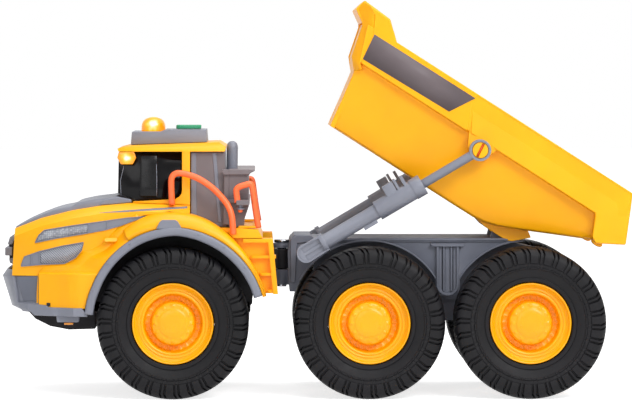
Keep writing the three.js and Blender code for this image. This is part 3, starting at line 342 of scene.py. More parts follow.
def turned(profile, columns, y=0.0, x=0.0, z=0.0):
    """A profile of (radius, height) turned about an axis along y."""
    return grid([[(x + r * math.cos(t), y + h, z + r * math.sin(t))
                  for t in (2 * math.pi * i / columns for i in range(columns))] for r, h in profile], ends=False)


def spun(profile, x=0.0, y=0.0, sides=40, flute=0.0):
    """A profile of (radius, height) turned about an upright axis, fluted by a share of its radius."""
    rings = []
    for r, h in profile:
        ring = [r * (1 - flute * (i % 2)) for i in range(sides)]
        rings.append([(x + f * math.cos(2 * math.pi * i / sides), y + f * math.sin(2 * math.pi * i / sides), h)
                      for i, f in enumerate(ring)])
    return grid(rings)


def joined(*meshes):
    """Several meshes as one."""
    whole = meshes[0]
    for other in meshes[1:]:
        held = bpy.data.meshes.new("held")
        other.to_mesh(held)
        other.free()
        whole.from_mesh(held)
        bpy.data.meshes.remove(held)
    return whole


def smooth_path(points, parts):
    """Catmull-Rom through the points, each span in so many parts."""
    pts = [Vector(p) for p in points]
    pts = [2 * pts[0] - pts[1]] + pts + [2 * pts[-1] - pts[-2]]
    path = []
    for a, b, c, d in zip(pts, pts[1:], pts[2:], pts[3:]):
        for i in range(parts):
            t = i / parts
            path.append(0.5 * (2 * b + (c - a) * t + (2 * a - 5 * b + 4 * c - d) * t * t
                               + (3 * b - a - 3 * c + d) * t ** 3))
    return path + [pts[-2]]


def tube(points, radius):
    """A round bar along a smooth line, capped at both ends."""
    sides, path = 20, smooth_path(points, 5)
    rings, up = [], Vector((0, 1, 0))
    for i, p in enumerate(path):
        way = (path[min(i + 1, len(path) - 1)] - path[max(i - 1, 0)]).normalized()
        across = way.cross(up).normalized()
        up = across.cross(way).normalized()
        rings.append([p + radius * (math.cos(t) * across + math.sin(t) * up)
                      for t in (2 * math.pi * k / sides for k in range(sides))])
    return grid(rings)


def around(radius, a0, a1, count, cx, cz=AXLE_Z):
    """Points on an arc in x, z, in degrees."""
    return [(cx + radius * math.cos(math.radians(a0 + (a1 - a0) * i / count)),
             cz + radius * math.sin(math.radians(a0 + (a1 - a0) * i / count))) for i in range(count + 1)]


# ------------------------------------------------------------ wheels
PITCHES = 30                                   # of the tread, round the tyre
# columns of one pitch of the tread: place along it and how far it is cut: wide lug, groove, rib, groove
TREAD_COLUMNS = [(0.0, 0), (0.18, 0), (0.36, 0), (0.54, 0), (0.575, 1), (0.65, 1), (0.685, 0), (0.84, 0),
                 (0.875, 1), (0.965, 1)]
BEAD_R = 21.9
# half of the tyre from bead to crown: radius, height from the middle plane, and, where the tread is cut, how deep
# radially and across
TYRE_LINE = [(21.9, 11.6), (22.0, 13.0), (22.6, 13.6), (24.0, 13.8), (24.5, 13.4), (26.5, 14.3), (28.6, 14.9),
             (29.0, 15.4, 0, 0.3), (29.7, 15.5, 0, 0.4), (30.1, 15.0, 0, 0.1), (31.6, 15.2, 0, 0.1),
             (32.0, 15.8, 0, 0.7), (33.4, 16.0, 0, 1.2), (35.6, 15.9, 0.1, 1.3), (37.2, 15.4, 0.5, 1.2),
             (38.5, 14.5, 1.0, 1.0), (39.3, 13.4, 1.4, 0.6), (39.8, 11.8, 1.6, 0.3), (40.0, 9.8, 1.7, 0),
             (40.0, 6.4, 1.7, 0), (40.0, 2.2, 1.7, 0), (40.0, 1.7), (40.0, 0)]
CHEVRON = math.radians(9)                      # how far the lugs lean forward by the middle of the crown


def tyre():
    """Bead ring, plain wall with a broken rib, and cut lugs that run over the crown in a chevron."""
    half = [(tuple(row) + (0, 0))[:4] for row in TYRE_LINE]
    rows = []
    for r, h, dr, dh in half + [(r, -h, dr, -dh) for r, h, dr, dh in half[-2::-1]]:
        lean = CHEVRON * (1 - abs(h) / (TYRE_W / 2)) if r > 38 else 0
        row = []
        for k in range(PITCHES):
            for part, cut in TREAD_COLUMNS:
                a = 2 * math.pi * (k + part) / PITCHES + lean
                row.append(((r - cut * dr) * math.cos(a), h - cut * dh, (r - cut * dr) * math.sin(a)))
        rows.append(row)
    bore = [2 * math.pi * i / len(rows[0]) for i in range(len(rows[0]))]
    rows.append([(BEAD_R * math.cos(a), 0, BEAD_R * math.sin(a)) for a in bore])
    return grid(rows, ends=False, loop=True)


# the wheel centre from hub to flange and back inside: radius, height over the middle plane, and, where they
# stand, how high the bolt heads and the nuts are
RIM_LINE = [(0, 11.3), (4, 11.3), (7, 11.2), (7.6, 10.9), (8, 10.7), (8.4, 10.6, 0.1, 0), (8.8, 10.5, 0.35, 0),
            (9.2, 10.4, 0.5, 0), (9.7, 10.3, 0.5, 0), (10.2, 10.1, 0.25, 0), (10.7, 9.9), (11.2, 9.4), (11.4, 8.4),
            (11.6, 6.8), (11.7, 4.2), (12, 3.6, 0, 0.05), (12.7, 3.5, 0, 0.4), (13.4, 3.5, 0, 0.8),
            (14.1, 3.6, 0, 0.8), (14.7, 3.8, 0, 0.4), (15.1, 4.6, 0, 0.05), (15.3, 8.4), (15.6, 9.2), (16.2, 9.6),
            (16.8, 9.6), (17, 9.3), (17.3, 9.3), (17.5, 9.9), (18.3, 10.1), (18.5, 9.8), (18.8, 9.8), (19, 10.5),
            (19.9, 10.8), (20.2, 11.6), (20.5, 12.3), (21, 12.6), (21.4, 12.4), (21.5, 11.8), (21.5, -12.6),
            (19.3, -12.6), (19.3, -1), (13, 0.4), (5, 0.4), (5, -12.6), (2.4, -12.6), (2.4, 6.6), (0, 6.6)]
BOLTS, NUTS = 12, 24                           # heads round the hub, and nuts in the deep ring


def rim():
    """A stepped dish: flat hub with bolt heads, a deep ring with nuts, and grooved flange rings."""
    columns = BOLTS * 12
    rows = []
    for r, h, *heads in RIM_LINE:
        bolt, nut = heads or (0, 0)
        row = []
        for i in range(columns):
            a = 2 * math.pi * i / columns
            up = bolt * max(0, math.cos(BOLTS * a)) ** 1.5 + nut * max(0, math.cos(NUTS * a)) ** 1.5
            row.append((r * math.cos(a), h + up, r * math.sin(a)))
        rows.append(row)
    return grid(rows, ends=False)


for line, x in AXLES.items():
    hub = TRUCK @ Matrix.Translation((x, WHEEL_Y, AXLE_Z))
    wheel = f"wheel_{line}_{{}}"
    pair(f"treaded_tyre_{line}", tyre, hub, wheel, "tyre", node=f"tyre_{line}_{{}}", edge=0, crisp=24)
    pair(f"wheel_centre_{line}", rim, hub, wheel, "rim", node=f"rim_{line}_{{}}", edge=0)

# ------------------------------------------------------------ front body
# radius of the wheel housing; half widths over the fenders, their grey lips, the cab's foot and the body
ARCH_R, FENDER_OUT, FLARE_OUT, CAB_W, BODY_W = 50.4, 54.5, 57.5, 36, 46
FRONT_X = AXLES["front"]
# outer edge of the arch's grey lip, which comes nearer the wheel in front: angle, radius; and how broad the lip is
ARCH_LINE = [(15, 49.3), (29, 49.6), (46, 49.8), (68, 50.3), (88, 51.0), (111, 49.8), (133, 48.2), (155, 46.8),
             (175, 46.6)]
LIP = 4.5


def along(points, x):
    """The value at x on a line of (x, value) points."""
    for (x0, v0), (x1, v1) in zip(points, points[1:]):
        if x <= x1:
            break
    return v0 + (v1 - v0) * (x - x0) / (x1 - x0)


def arch(angle):
    """Radius of the lip's outer edge at an angle round the wheel."""
    return along(ARCH_LINE, angle)


def arch_point(angle, further):
    """A point on that edge, or further out from it."""
    r, a = arch(angle) + further, math.radians(angle)
    return FRONT_X + r * math.cos(a), AXLE_Z + r * math.sin(a)


# plan of the hood's side, and its crown line: place along, half width or height
FLANK = [(5, 39.6), (20.3, 43.6), (36.5, 46), (110, 46)]
CROWN = [(6.3, 89.5), (20.3, 95), (36.5, 99.1), (52.7, 101.8), (67.3, 103.1), (99.1, 101.8)]


def ribbon(low, high, stations, out, deep, rim=0.0):
    """A strip on the hood's side between two lines, proud of it, with its field sunk inside a rim."""
    rings = []
    for x in stations:
        y, z0, z1 = along(FLANK, x), along(low, x), along(high, x)
        edge = min(0.4, (z1 - z0) * 0.3)
        face = [(out, z0), (out, z0 + edge), (out - rim, z0 + edge * 1.3), (out - rim, z1 - edge * 1.3),
                (out, z1 - edge), (out, z1)] if rim else [(out, z0), (out, z1)]
        rings.append([(x, y + up, z) for up, z in face] + [(x, y - deep, z1), (x, y - deep, z0)])
    return grid(rings)


def steps(x0, x1, count):
    """Evenly spaced values, both ends included."""
    return [x0 + (x1 - x0) * i / count for i in range(count + 1)]


# lower and upper edge of each grille: place along, height
UPPER_LOW = [(17.2, 82.1), (29.2, 84.6), (45.4, 87.3), (55, 89.1), (62.6, 91.2), (70, 94.0), (76.2, 96.1)]
UPPER_HIGH = [(17.2, 82.5), (19.2, 86.4), (22.3, 89.2), (36.8, 91.6), (56.1, 94.3), (66, 95.7), (76.2, 96.5)]
LOWER_LOW = [(9.6, 69.5), (20.6, 70.6), (33, 71.2), (38.9, 74.3), (42.2, 78.3), (43.3, 82.4)]
LOWER_HIGH = [(9.6, 69.9), (11.3, 74.9), (19.6, 77.9), (31.4, 80.8), (43.3, 82.9)]


def shifted(line, up):
    """The same line, higher by so much."""
    return [(x, z + up) for x, z in line]


def upper_grille():
    """Grey frame of the long grille that runs back to a point."""
    return ribbon(UPPER_LOW, UPPER_HIGH, steps(17.4, 76, 60), 0.9, 1.2, rim=0.5)


def lower_grille():
    """Grey frame of the leaf-shaped grille under it."""
    return ribbon(LOWER_LOW, LOWER_HIGH, steps(9.8, 43.1, 40), 0.9, 1.2, rim=0.5)


def upper_screen():
    """Pebbled field in its front half."""
    return ribbon(shifted(UPPER_LOW, 0.65), shifted(UPPER_HIGH, -0.65), steps(18.7, 45.4, 30), 0.66, 0.3)


def lower_screen():
    """Ribbed field in its rear half."""
    return ribbon(shifted(LOWER_LOW, 0.6), shifted(LOWER_HIGH, -0.6), steps(20.1, 42.6, 30), 0.66, 0.3)


def upper_dividers():
    """Two raised bars that part the plain tail of the upper grille."""
    return joined(*(ribbon(shifted(UPPER_LOW, 0.3), shifted(UPPER_HIGH, -0.3), (x, x + 0.7), 0.95, 0.3)
                    for x in (45.5, 55.2)))


def lower_dividers():
    """The same on the plain front of the lower one."""
    return joined(*(ribbon(shifted(LOWER_LOW, 0.3), shifted(LOWER_HIGH, -0.3), (x, x + 0.6), 0.95, 0.3)
                    for x in (15.1, 19.5)))


def flank_stripe():
    """Grey wedge let into the shoulder of the hood under the window."""
    low = [(51, 98.1), (66, 98.8), (80, 99.5), (98, 100.5)]
    high = [(51, 98.2), (66, 99.6), (80, 100.5), (98, 101.5)]
    rings = []
    for x in steps(51.4, 97.8, 24):
        crown = along(CROWN, x)
        slope = [(BODY_W - max(0.0, z - (crown - 4)) * 1.25 + 0.22, z) for z in (along(low, x), along(high, x))]
        rings.append([(x, y, z) for y, z in slope] + [(x, y - 0.8, z - 0.6) for y, z in slope[::-1]])
    return grid(rings)


# the cheek ahead of the front wheel: where it leaves the hood's side, from its foot up, and the shares of its way out
# to the arch at which it has points
CHEEK = [(21.5, 48.6), (21.5, 54), (21.8, 60), (22.6, 65.6), (26, 68.4), (33, 69.4), (39.4, 70.4), (42.2, 72.6),
         (45.2, 75.6), (49.8, 76.8), (54.2, 78.8), (58.4, 82.6), (62.4, 87.0), (65.6, 90.2), (69.0, 92.6), (72.4, 94.6)]
CHEEK_RUN = [0.05, 0.1, 0.2, 0.34, 0.5, 0.66, 0.8, 0.9, 0.97, 1]


def cheek():
    """The side of the hood swelling out to the wheel arch past a low step."""
    inner = smooth_path([(x, 0, z) for x, z in CHEEK], 4)
    rings = []
    for i, (x0, _, z0) in enumerate(inner):
        part = i / (len(inner) - 1)
        x1, z1 = arch_point(170.4 - 63.4 * part, 0.05)
        y0 = along(FLANK, x0)
        step = 1.1 * min(1, max(0, 1.15 - part * 1.6))
        way = Vector((x0 - FRONT_X, z0 - AXLE_Z)).normalized() * 3.4
        row = [(x0 + way.x, y0 - 1.5, z0 + way.y), (x0 + way.x, y0 + 0.08, z0 + way.y), (x0, y0 + 0.14, z0)]
        for run in CHEEK_RUN:
            swell = (run * run * (3 - 2 * run) * 0.8 + 0.2 * run) * (FENDER_OUT - 0.2 - y0)
            row.append((x0 + (x1 - x0) * run, y0 + 0.1 + max(swell, step), z0 + (z1 - z0) * run))
        rings.append(row + [(x1, FENDER_OUT - 3, z1), (x1 - 0.5, y0 - 1.5, z1 + 0.5)])
    return grid(rings)


# plan of the lower panel's face
PANEL_PLAN = [(19.3, 44.9), (24, 46.8), (30, 49.5), (36, 53.1), (41, 54.7), (52, 55.0)]


def cheek_panel():
    """Flat lower panel between the bumper and the wheel arch, proud under a narrow ledge."""
    rings = []
    for angle, back in [(a, 0) for a in steps(170.2, 146.6, 12)] + [(145.4, 1.4)]:
        x1, z = arch_point(angle, 0.05)
        front = [(x, along(PANEL_PLAN, x) - back, z) for x in steps(19.3, x1, 16)]
        rings.append(front + [(x1, 46, z), (19.3, 42.6, z)])
    return grid(rings)


def cheek_notch():
    """Black block at the panel's lower front corner, painted shade for a drain notch."""
    return prism([(23.5, 49.0), (25.6, 49.0), (25.6, 50.7), (23.7, 50.7)], 42, 47.9)


def cheek_button():
    """Small pill-shaped pad on the cheek."""
    pill = [(57.6 + 2.4 * math.copysign(1, math.cos(t)) + 1.15 * math.cos(t), 84.0 + 1.15 * math.sin(t))
            for t in (2 * math.pi * (i + 0.5) / 24 for i in range(24))]
    return grid([[(x, y - (x - 57.6) * 0.25 - (z - 84) * 0.3, z) for x, z in pill] for y in (47.0, 49.0)])


# fender from over the cheek to its rear foot: angle, height over the arch, half width on top
FENDER_LINE = [(118, 5.4, 47.4), (114, 6.4, 46.9), (107, 7.7, 47.4), (99, 8.2, 48.3), (92, 8.3, 49),
               (80, 7.8, 49.4), (70, 6.7, 50), (58, 4.8, 51), (47, 3, 52), (30, 1.3, 53.4), (16.5, 0.9, 53.7)]


def fender():
    """The crescent over a front wheel, broad on top, with a soft shoulder and a thin outer lip."""
    rings = []
    for angle, rise, width in smooth_path(FENDER_LINE, 6):
        a, top = math.radians(angle), min(width, FENDER_OUT - 0.8)
        shoulder = (top + FENDER_OUT) / 2
        under = arch(angle) - ARCH_R + 0.05
        section = [(under, CAB_W + 0.7), (under, FENDER_OUT - 0.1), (min(0.9, rise * 0.3), FENDER_OUT - 0.1),
                   (rise * 0.35, FENDER_OUT - 0.4), (rise * 0.62, shoulder + 0.9), (rise * 0.84, top + 1.4),
                   (rise * 0.96, top), (rise, top - 2.2), (rise, (CAB_W + top) / 2), (rise, CAB_W + 0.7)]
        rings.append([(FRONT_X + (ARCH_R + up) * math.cos(a), y, AXLE_Z + (ARCH_R + up) * math.sin(a))
                      for up, y in section])
    return grid(rings)


def liner():
    """Black housing over the wheel, its black painted shade."""
    return prism(around(ARCH_R + 2.1, 172, 18, 60, FRONT_X) + around(ARCH_R + 0.05, 18, 172, 60, FRONT_X),
                 22.5, CAB_W + 0.6)


def arch_shade():
    """Inner face of the wheel arch, outboard of the liner, in black as painted shade."""
    angles = steps(170, 18, 60)
    return prism([arch_point(a, 0.1) for a in angles] + [arch_point(a, -0.3) for a in angles[::-1]],
                 CAB_W, FLARE_OUT - 9.2)


def flare():
    """Grey lip round the arch."""
    rings = []
    for angle in steps(173.4, 17.6, 90):
        section = [(-LIP, FLARE_OUT - 9.4), (-LIP, FLARE_OUT - 1.0), (0.6 - LIP, FLARE_OUT - 0.3),
                   (1.3 - LIP, FLARE_OUT), (-0.8, FLARE_OUT), (-0.1, FLARE_OUT - 0.5), (0, FLARE_OUT - 9.4)]
        rings.append([(x, y, z) for (x, z), y in ((arch_point(angle, r), y) for r, y in section)])
    return grid(rings)


def flare_pips():
    """Moulded pips along the lip."""
    pips = []
    for angle in (157, 137, 118, 74, 56, 38):
        x, z = arch_point(angle, -1.4)
        pips.append(turned([(0, 0), (0.5, 0), (0.5, 0.35), (0.3, 0.5), (0, 0.5)], 12, FLARE_OUT - 0.2, x, z))
    return joined(*pips)


def flare_tab():
    """Grey tab that stands up from the top of the lip."""
    foot, top = AXLE_Z + ARCH_R - 0.4, AXLE_Z + ARCH_R + 4.4
    return prism([(FRONT_X - 8.6, foot), (FRONT_X - 6.8, top - 1), (FRONT_X - 5.6, top), (FRONT_X + 1.6, top),
                  (FRONT_X + 2.9, top - 1), (FRONT_X + 5.0, foot)], FENDER_OUT - 2, FLARE_OUT - 0.5)


# plan of the bumper's face from the middle to its rear end: x, y, lean at the foot, share of the top lip
BUMPER = [(-1.1, 0, 4.7, 1), (-1.1, 14, 4.7, 1), (-1.05, 24, 4.7, 1), (-0.4, 28.4, 4.7, 1), (1.2, 33.6, 4.5, 1),
          (3.0, 37.2, 4.1, 1), (4.8, 38.9, 3.6, 0.5), (5.4, 39.5, 3.4, 0), (5.9, 39.9, 3.2, 0), (8.0, 41.6, 2.6, 0),
          (13, 43.1, 1.4, 0), (18.6, 44.5, 0.2, 0), (18.9, 44.6, 0.1, 0), (19.1, 44.7, 0, 0)]
SUNK = (5.6, 19.0)                             # where its corner opening starts and ends, along


def bumper():
    """Grey bumper: a face leaning back to its foot, a lip under the hood, and a sunk field at each corner."""
    path = [(x, -y, lean, lip) for x, y, lean, lip in BUMPER[:0:-1]] + BUMPER
    rings = []
    for i, (x, y, lean, lip) in enumerate(path):
        a, b = path[max(i - 1, 0)], path[min(i + 1, len(path) - 1)]
        out = Vector((a[1] - b[1], b[0] - a[0])).normalized()
        sunk = 1.7 if SUNK[0] < x < SUNK[1] else 0.0
        foot = 7.0 * max(0.0, lean - 1) / 3.7
        top = 64.6 + 3.2 * lip
        field = [(-3.0 * lip - 0.6, top - 0.4), (-2.2 * lip - 0.3, top), (0, 64.2), (-0.06 * lean, 63.0),
                 (-0.08 * lean, 62.6), (-0.86 * lean, 50.8)]
        under = [(-0.89 * lean, 50.3), (-lean, 48.3), (-lean - 0.35 * foot, 47.0), (-lean - foot, 45.6),
                 (-lean - foot - 2, 45.5), (-lean - foot - 2, 48)]
        face = [(-4.6, 64.6)] + [(far - sunk, z) for far, z in field] + under
        rings.append([(x + out.x * far, y + out.y * far, z) for far, z in face])
    return grid(rings)


def bumper_panel():
    """Dark panel in the sunk field of a corner, its front edge slanting with the bumper."""
    plan, lean = [(x, y) for x, y, _, _ in BUMPER], [(x, lean) for x, _, lean, _ in BUMPER]
    rings = []
    for z in (51.3, 54, 57, 60, 62.6, 64.3):
        down = 0.86 * (64.3 - z) / 13.4
        face = [(x, along(plan, x) - 1.5 - down * along(lean, x), z)
                for x in steps(10.8 - 4.0 * (z - 51.3) / 13, 18.9, 8)]
        rings.append(face + [(x, y - 0.8, z) for x, y, z in face[::-1]])
    return grid(rings)


def bumper_back():
    """Black floor between the bumper's face and the hood, its black painted shade."""
    return slab([(3.4, -36), (3.4, 36), (19.0, 40), (19.0, -40)], 62.2, 64.4)


def skirt():
    """Grey foot of the front corner, drawn out to meet the lip of the wheel arch."""
    plan = [(13.1, 42.8), (20, 46.2), (26.6, 50), (30.2, 50.8), (34, 53.2), (38.2, 56.3), (45.6, 56.4)]
    rings = []
    for x in [13.1, 14.3, 15.6, 17] + steps(18.4, 42.6, 22) + [43.6, 44.6, 45.5]:
        low = 43.9 if x > 16.9 else 47.7 - 3.8 * (x - 13.1) / 3.8
        high = along([(13, 50.2), (23.4, 49.5), (25.2, 48.4), (42.6, 48.4), (45.6, 44.4)], x)
        y = along(plan, x)
        rings.append([(x, 40.2, low), (x, y - 0.5, low), (x, y, low + 0.3), (x, y - 0.1, high - 0.2),
                      (x, y - 0.5, high), (x, 40.2, high)])
    return grid(rings)


def skirt_block():
    """Lamp block under the skirt."""
    return prism([(28.8, 44.2), (29.2, 40.6), (40.6, 40.6), (41.2, 44.2)], 42, 49.6)


# hood cover: place along, half width, height of its middle
COVER = [(6.2, 26, 90.2), (11, 28, 92.9), (17, 30, 95.6), (23, 31.2, 98), (29, 32.2, 99.9), (34.5, 33, 101.0),
         (36.4, 33, 101.5), (38.4, 33, 102.7), (40.6, 33.2, 103.4), (46.8, 34, 104.7), (53, 34.4, 105.5),
         (60.2, 34.6, 106.2)]


def hood_cover():
    """Grey lid that crowns the hood and swells towards the windscreen."""
    rings = []
    for x, w, m in smooth_path(COVER, 4):
        e = along(CROWN, x) - 0.6
        half = [(w, e), (w, e + 1.0), (w - 0.5, e + 0.5 + (m - e) * 0.55), (w - 1.8, m - 0.35), (w - 4, m - 0.05),
                (w * 0.55, m), (w * 0.2, m)]
        rings.append([(x, y, z) for y, z in half] + [(x, -y, z) for y, z in half[::-1]])
    return grid(rings)


def cowl():
    """Grey corner block at the windscreen's foot."""
    return prism([(51.6, 101.8), (53.8, 104.9), (59.8, 106.4), (61, 106.4), (68.2, 105), (68.2, 103.3), (60, 102.4)],
                 33.4, 39.3)


def nose_bars():
    """Three stacked grey blocks on the nose between the hood and the bumper."""
    return joined(prism([(3.4, 79.9), (1.0, 80.1), (2.2, 84.2), (5.4, 84.7)], -16, 16),
                  prism([(3.6, 74.3), (-0.2, 74.3), (-0.2, 78.6), (3.6, 78.9)], -19, 19),
                  prism([(4.4, 69.6), (2.1, 70.2), (1.7, 72.8), (4.4, 72.8)], -16, 16))


def nose_plate():
    """Black field behind the blocks."""
    return prism([(3.6, 69.4), (1.9, 71), (1.7, 80), (2.6, 84.3), (5.0, 84.6), (5.0, 69.4)], -15, 15)


front_pair("smooth_fender", fender, "yellow", node="fender_{}", edge=0)
front_pair("arch_cheek", cheek, "yellow", edge=0)
front_pair("cheek_button", cheek_button, "yellow", edge=0.4)
front_pair("arch_liner", liner, "dark", look=BLACK_PP_AND_SHADE, edge=0.2)
front_pair("arch_shade", arch_shade, "dark", look=BLACK_PP_AND_SHADE, edge=0)
front_pair("arch_flare", flare, "grey", node="fender_flare_{}", edge=0)
front_pair("arch_flare_tab", flare_tab, "grey", edge=0.5)
front_pair("arch_flare_pips", flare_pips, "grey", edge=0)
front_pair("upper_grille", upper_grille, "grey", node="grille_upper_{}", edge=0.15)
front_pair("lower_grille", lower_grille, "grey", node="grille_lower_{}", edge=0.15)
front_pair("upper_grille_screen", upper_screen, "grey", look=PEBBLED_ABS, edge=0)
front_pair("lower_grille_screen", lower_screen, "grey", look=RIBBED_ABS, edge=0)
front_pair("upper_grille_bars", upper_dividers, "grey", edge=0.15)
front_pair("lower_grille_bars", lower_dividers, "grey", edge=0.15)
front_pair("hood_stripe", flank_stripe, "grey", edge=0)
front_piece("hood_cover", hood_cover(), "grey", nodes=["hood_top"], edge=0)
front_pair("hood_cowl", cowl, "grey", edge=0.7)
front_piece("bumper_face", bumper(), "grey", nodes=["front_bumper"], edge=0.35)
front_piece("bumper_floor", bumper_back(), "dark", look=BLACK_PP_AND_SHADE, edge=0.2)
front_pair("bumper_skirt", skirt, "grey", edge=0.3)
front_pair("bumper_lamp_block", skirt_block, "grey", edge=0.4)
front_pair("bumper_panel", bumper_panel, "dark", edge=0.2)
front_pair("cheek_panel", cheek_panel, "yellow", edge=0.4)
front_pair("cheek_notch", cheek_notch, "dark", look=BLACK_PP_AND_SHADE, edge=0.1)
front_piece("nose_plate", nose_plate(), "dark", look=BLACK_PP_AND_SHADE, edge=0.2)
front_piece("nose_bars", nose_bars(), "grey", nodes=["front_grille_bar"], edge=0.4)

# ------------------------------------------------------------ belly
HITCH = mid("hitch_pin")
# radius of the hitch's knuckle round that pin
KNUCKLE = (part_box("front_chassis")[1].x - HITCH.x) / MM


def belly():
    """Keel, floor, axle block and tube, rear wall, and the knuckle of the hitch."""
    keel = [(12, 44.8), (16, 40.5), (24, 36.5), (34, 34.6), (48, 35), (48, 44.5), (24, 50)]
    block = [(FRONT_X - 10, 46), (FRONT_X - 7, 34), (FRONT_X + 7, 34), (FRONT_X + 10, 46)]
    x = (HITCH.x - NOSE) / MM
    return joined(prism(keel, -20, 20), prism(block, -20, 20),
                  slab([(24, -20), (24, 20), (131, 20), (131, -20)], 44, 50),
                  turned([(0.1, -28.4), (5.4, -28.4), (5.4, 28.4), (0.1, 28.4)], 32, 0, FRONT_X, AXLE_Z),
                  slab([(129, -17), (129, 17), (132, 17), (132, -17)], 48, 84.5),
                  slab([(130, -6), (130, 6), (x - 1, 6), (x - 1, -6)], 66.6, 76.9),
                  spun([(KNUCKLE - 0.1, 66.6), (KNUCKLE - 0.1, 76.9)], x, 0))


def belly_side():
    """Plate beside the wheel."""
    return prism(around(ARCH_R - 0.2, 172, 32, 40, FRONT_X) + [(133, 56), (131.4, 48), (129, 44), (44, 44)], 17, 20)


# ------------------------------------------------------------ cab and platform
def window_wall(z):
    """Half width of the cab's windows, which lean in."""
    return 36 - 2.4 * (z - 104) / 26


def side_pane():
    """The door's glass: a pane bowed out a little, standing on the black window body."""
    rings = []
    for z in (105.8, 107, 112, 118, 124, 127.8, 129):
        wall = window_wall(z)
        inset = 1.0 if z in (105.8, 129) else 0
        xs = steps(72 + inset, 82.2 - inset, 10)
        row = [(x, wall + 0.1 + (0.0 if inset else 0.75) * math.sin(math.pi * i / 10) ** 0.45, z)
               for i, x in enumerate(xs)]
        rings.append(row + [(xs[-1], wall - 0.6, z), (xs[0], wall - 0.6, z)])
    return grid(rings)


def glint_strips():
    """Thin grey strips as painted highlights: down the door's glass, and down the bowed corner of the windscreen."""
    strips = []
    for foot, bow, head in ((81.4, 81.5, 81.3), (62.6, 62.2, 63.9)):
        levels = ((106.6, foot, 0.4), (109.4, foot * 0.6 + bow * 0.4, 0.8), (115, bow, 0.8), (122, head, 0.8),
                  (124.4, head, 0.3))
        strips.append(grid([[(x + side, window_wall(z) + up, z)
                             for side, up in ((-0.16, out), (0.16, out), (0.16, -0.2), (-0.16, -0.2))]
                            for z, x, out in levels]))
    return joined(*strips)


def cab_wall(z):
    """Half width of the cab's rear part, which leans in."""
    return 36 - 0.06 * (z - 90)


def leaning_panel(low, high, out):
    """A panel on the cab's rear side: x from and to at its foot and at its head, and how far it stands out."""
    rings = []
    for x0, x1, z in (low, high):
        y = cab_wall(z)
        rings.append([(x0, y + out, z), (x1, y + out, z), (x1, y - 0.6, z), (x0, y - 0.6, z)])
    return grid(rings)


def rear_columns():
    """Two upright pillars on the side of the cab's rear part."""
    return joined(leaning_panel((99.5, 102.6, 96.2), (99.5, 102.3, 129.8), 0.5),
                  leaning_panel((114.0, 115.9, 92.4), (110.8, 113.0, 129.8), 0.5))


def rear_panels():
    """Panels between the pillars, in the darker, warmer grey of painted shade."""
    return joined(leaning_panel((102.5, 114.1, 92.6), (102.2, 110.9, 129.6), 0.12),
                  leaning_panel((115.8, 118.9, 91), (112.9, 117.5, 129.6), 0.12))


def air_cleaner():
    """Case behind the cab: a body, a flared lid, and a wing to each side."""
    body = [(119.6, 90.3), (127.7, 90.3), (127.7, 93.7), (130.2, 101.1), (130.2, 118.4), (119.6, 118.4)]
    lid = [(119.6, 118.0), (130.6, 118.0), (131.2, 119.0), (133.5, 120.0), (133.5, 120.9), (119.6, 120.9)]
    wing = [(123.6, 102.2), (123.6, 104.9), (130.7, 104.9), (130.7, 102.2)]
    return joined(prism(body, -38, 38), prism(lid, -40, 40), prism(wing, -48.5, 48.5))


def air_cleaner_wrap():
    """The case's cheek, lid and shelf where they reach forward past the cab's corner."""
    return joined(prism([(116.6, 91.5), (119.8, 91.5), (119.8, 118.4), (117.2, 118.4), (116.8, 104)], 36.3, 38),
                  prism([(116.0, 119.4), (116.0, 120.9), (119.8, 120.9), (119.8, 118.0), (117.0, 118.0)], 36.3, 40),
                  prism([(115.2, 103.0), (115.2, 104.9), (124, 104.9), (124, 103.0)], 36.3, 41))


def lens_dome():
    """Beacon lens with a fluted side."""
    return spun([(6.4, -1.6), (6.5, -0.2), (6.45, 1.6), (6.2, 3.0), (5.5, 4.4), (4.2, 5.6), (2.2, 6.4), (0.6, 6.6)],
                sides=36, flute=0.03)


def exhaust():
    """Upright stack with a rounded head."""
    return spun([(2.8, 110.4), (2.85, 120), (3.0, 126), (3.05, 131.8), (2.9, 133.2), (2.5, 134.3), (1.8, 135.1),
                 (0.9, 135.5)], 121.4, -20)


# middle lines of the rails, from the foot in front to the foot behind
RAIL_R = 1.65
FRONT_RAIL = [(89.7, 42.4, 102.3), (89.4, 42.6, 109), (89.3, 42.8, 114.8), (89.8, 42.9, 117.0), (91.2, 42.9, 118.5),
              (93.6, 43.0, 119.0), (98.2, 43.3, 118.2), (104.4, 44.0, 115.8), (111.4, 45.2, 111.0), (117, 46.6, 105.2),
              (119.8, 47.6, 101.0), (121.2, 48.4, 97.0), (121.8, 49.0, 92.4), (122.2, 49.4, 86.7)]
REAR_RAIL = [(124.4, 46.3, 103.6), (123.8, 46.3, 108.2), (123.8, 46.3, 110.4), (125.2, 46.2, 111.8),
             (128.2, 45.9, 112.8), (130.4, 45.7, 113.4), (131.6, 45.5, 112.9), (132.3, 45.3, 110.6),
             (133.2, 44.8, 104), (134.2, 44.3, 97), (135.4, 43.9, 90.2)]


def front_rail():
    """Long orange rail from the door down to the fender."""
    return tube(FRONT_RAIL, RAIL_R)


def rear_rail():
    """Short one from the air cleaner's wing down to the ladder."""
    return tube(REAR_RAIL, RAIL_R)


def wing_stud():
    """Small grey lamp holder under the wing bracket."""
    return spun([(1.5, 102.2), (1.5, 100.9), (2.1, 100.7), (2.1, 99.8), (1.4, 99.6)], 125.8, 44.2, 20)


def wing_lamp():
    """Orange lamp under it."""
    return spun([(1.3, 99.7), (1.3, 98.9), (0.8, 98.3)], 125.8, 44.2, 20)


def ladder_back():
    """Plate behind the treads."""
    return prism([(121, 84.6), (142.3, 84.6), (144.9, 55.3), (134.6, 55.3), (131, 66), (126.4, 75)], 40.4, 41.4)


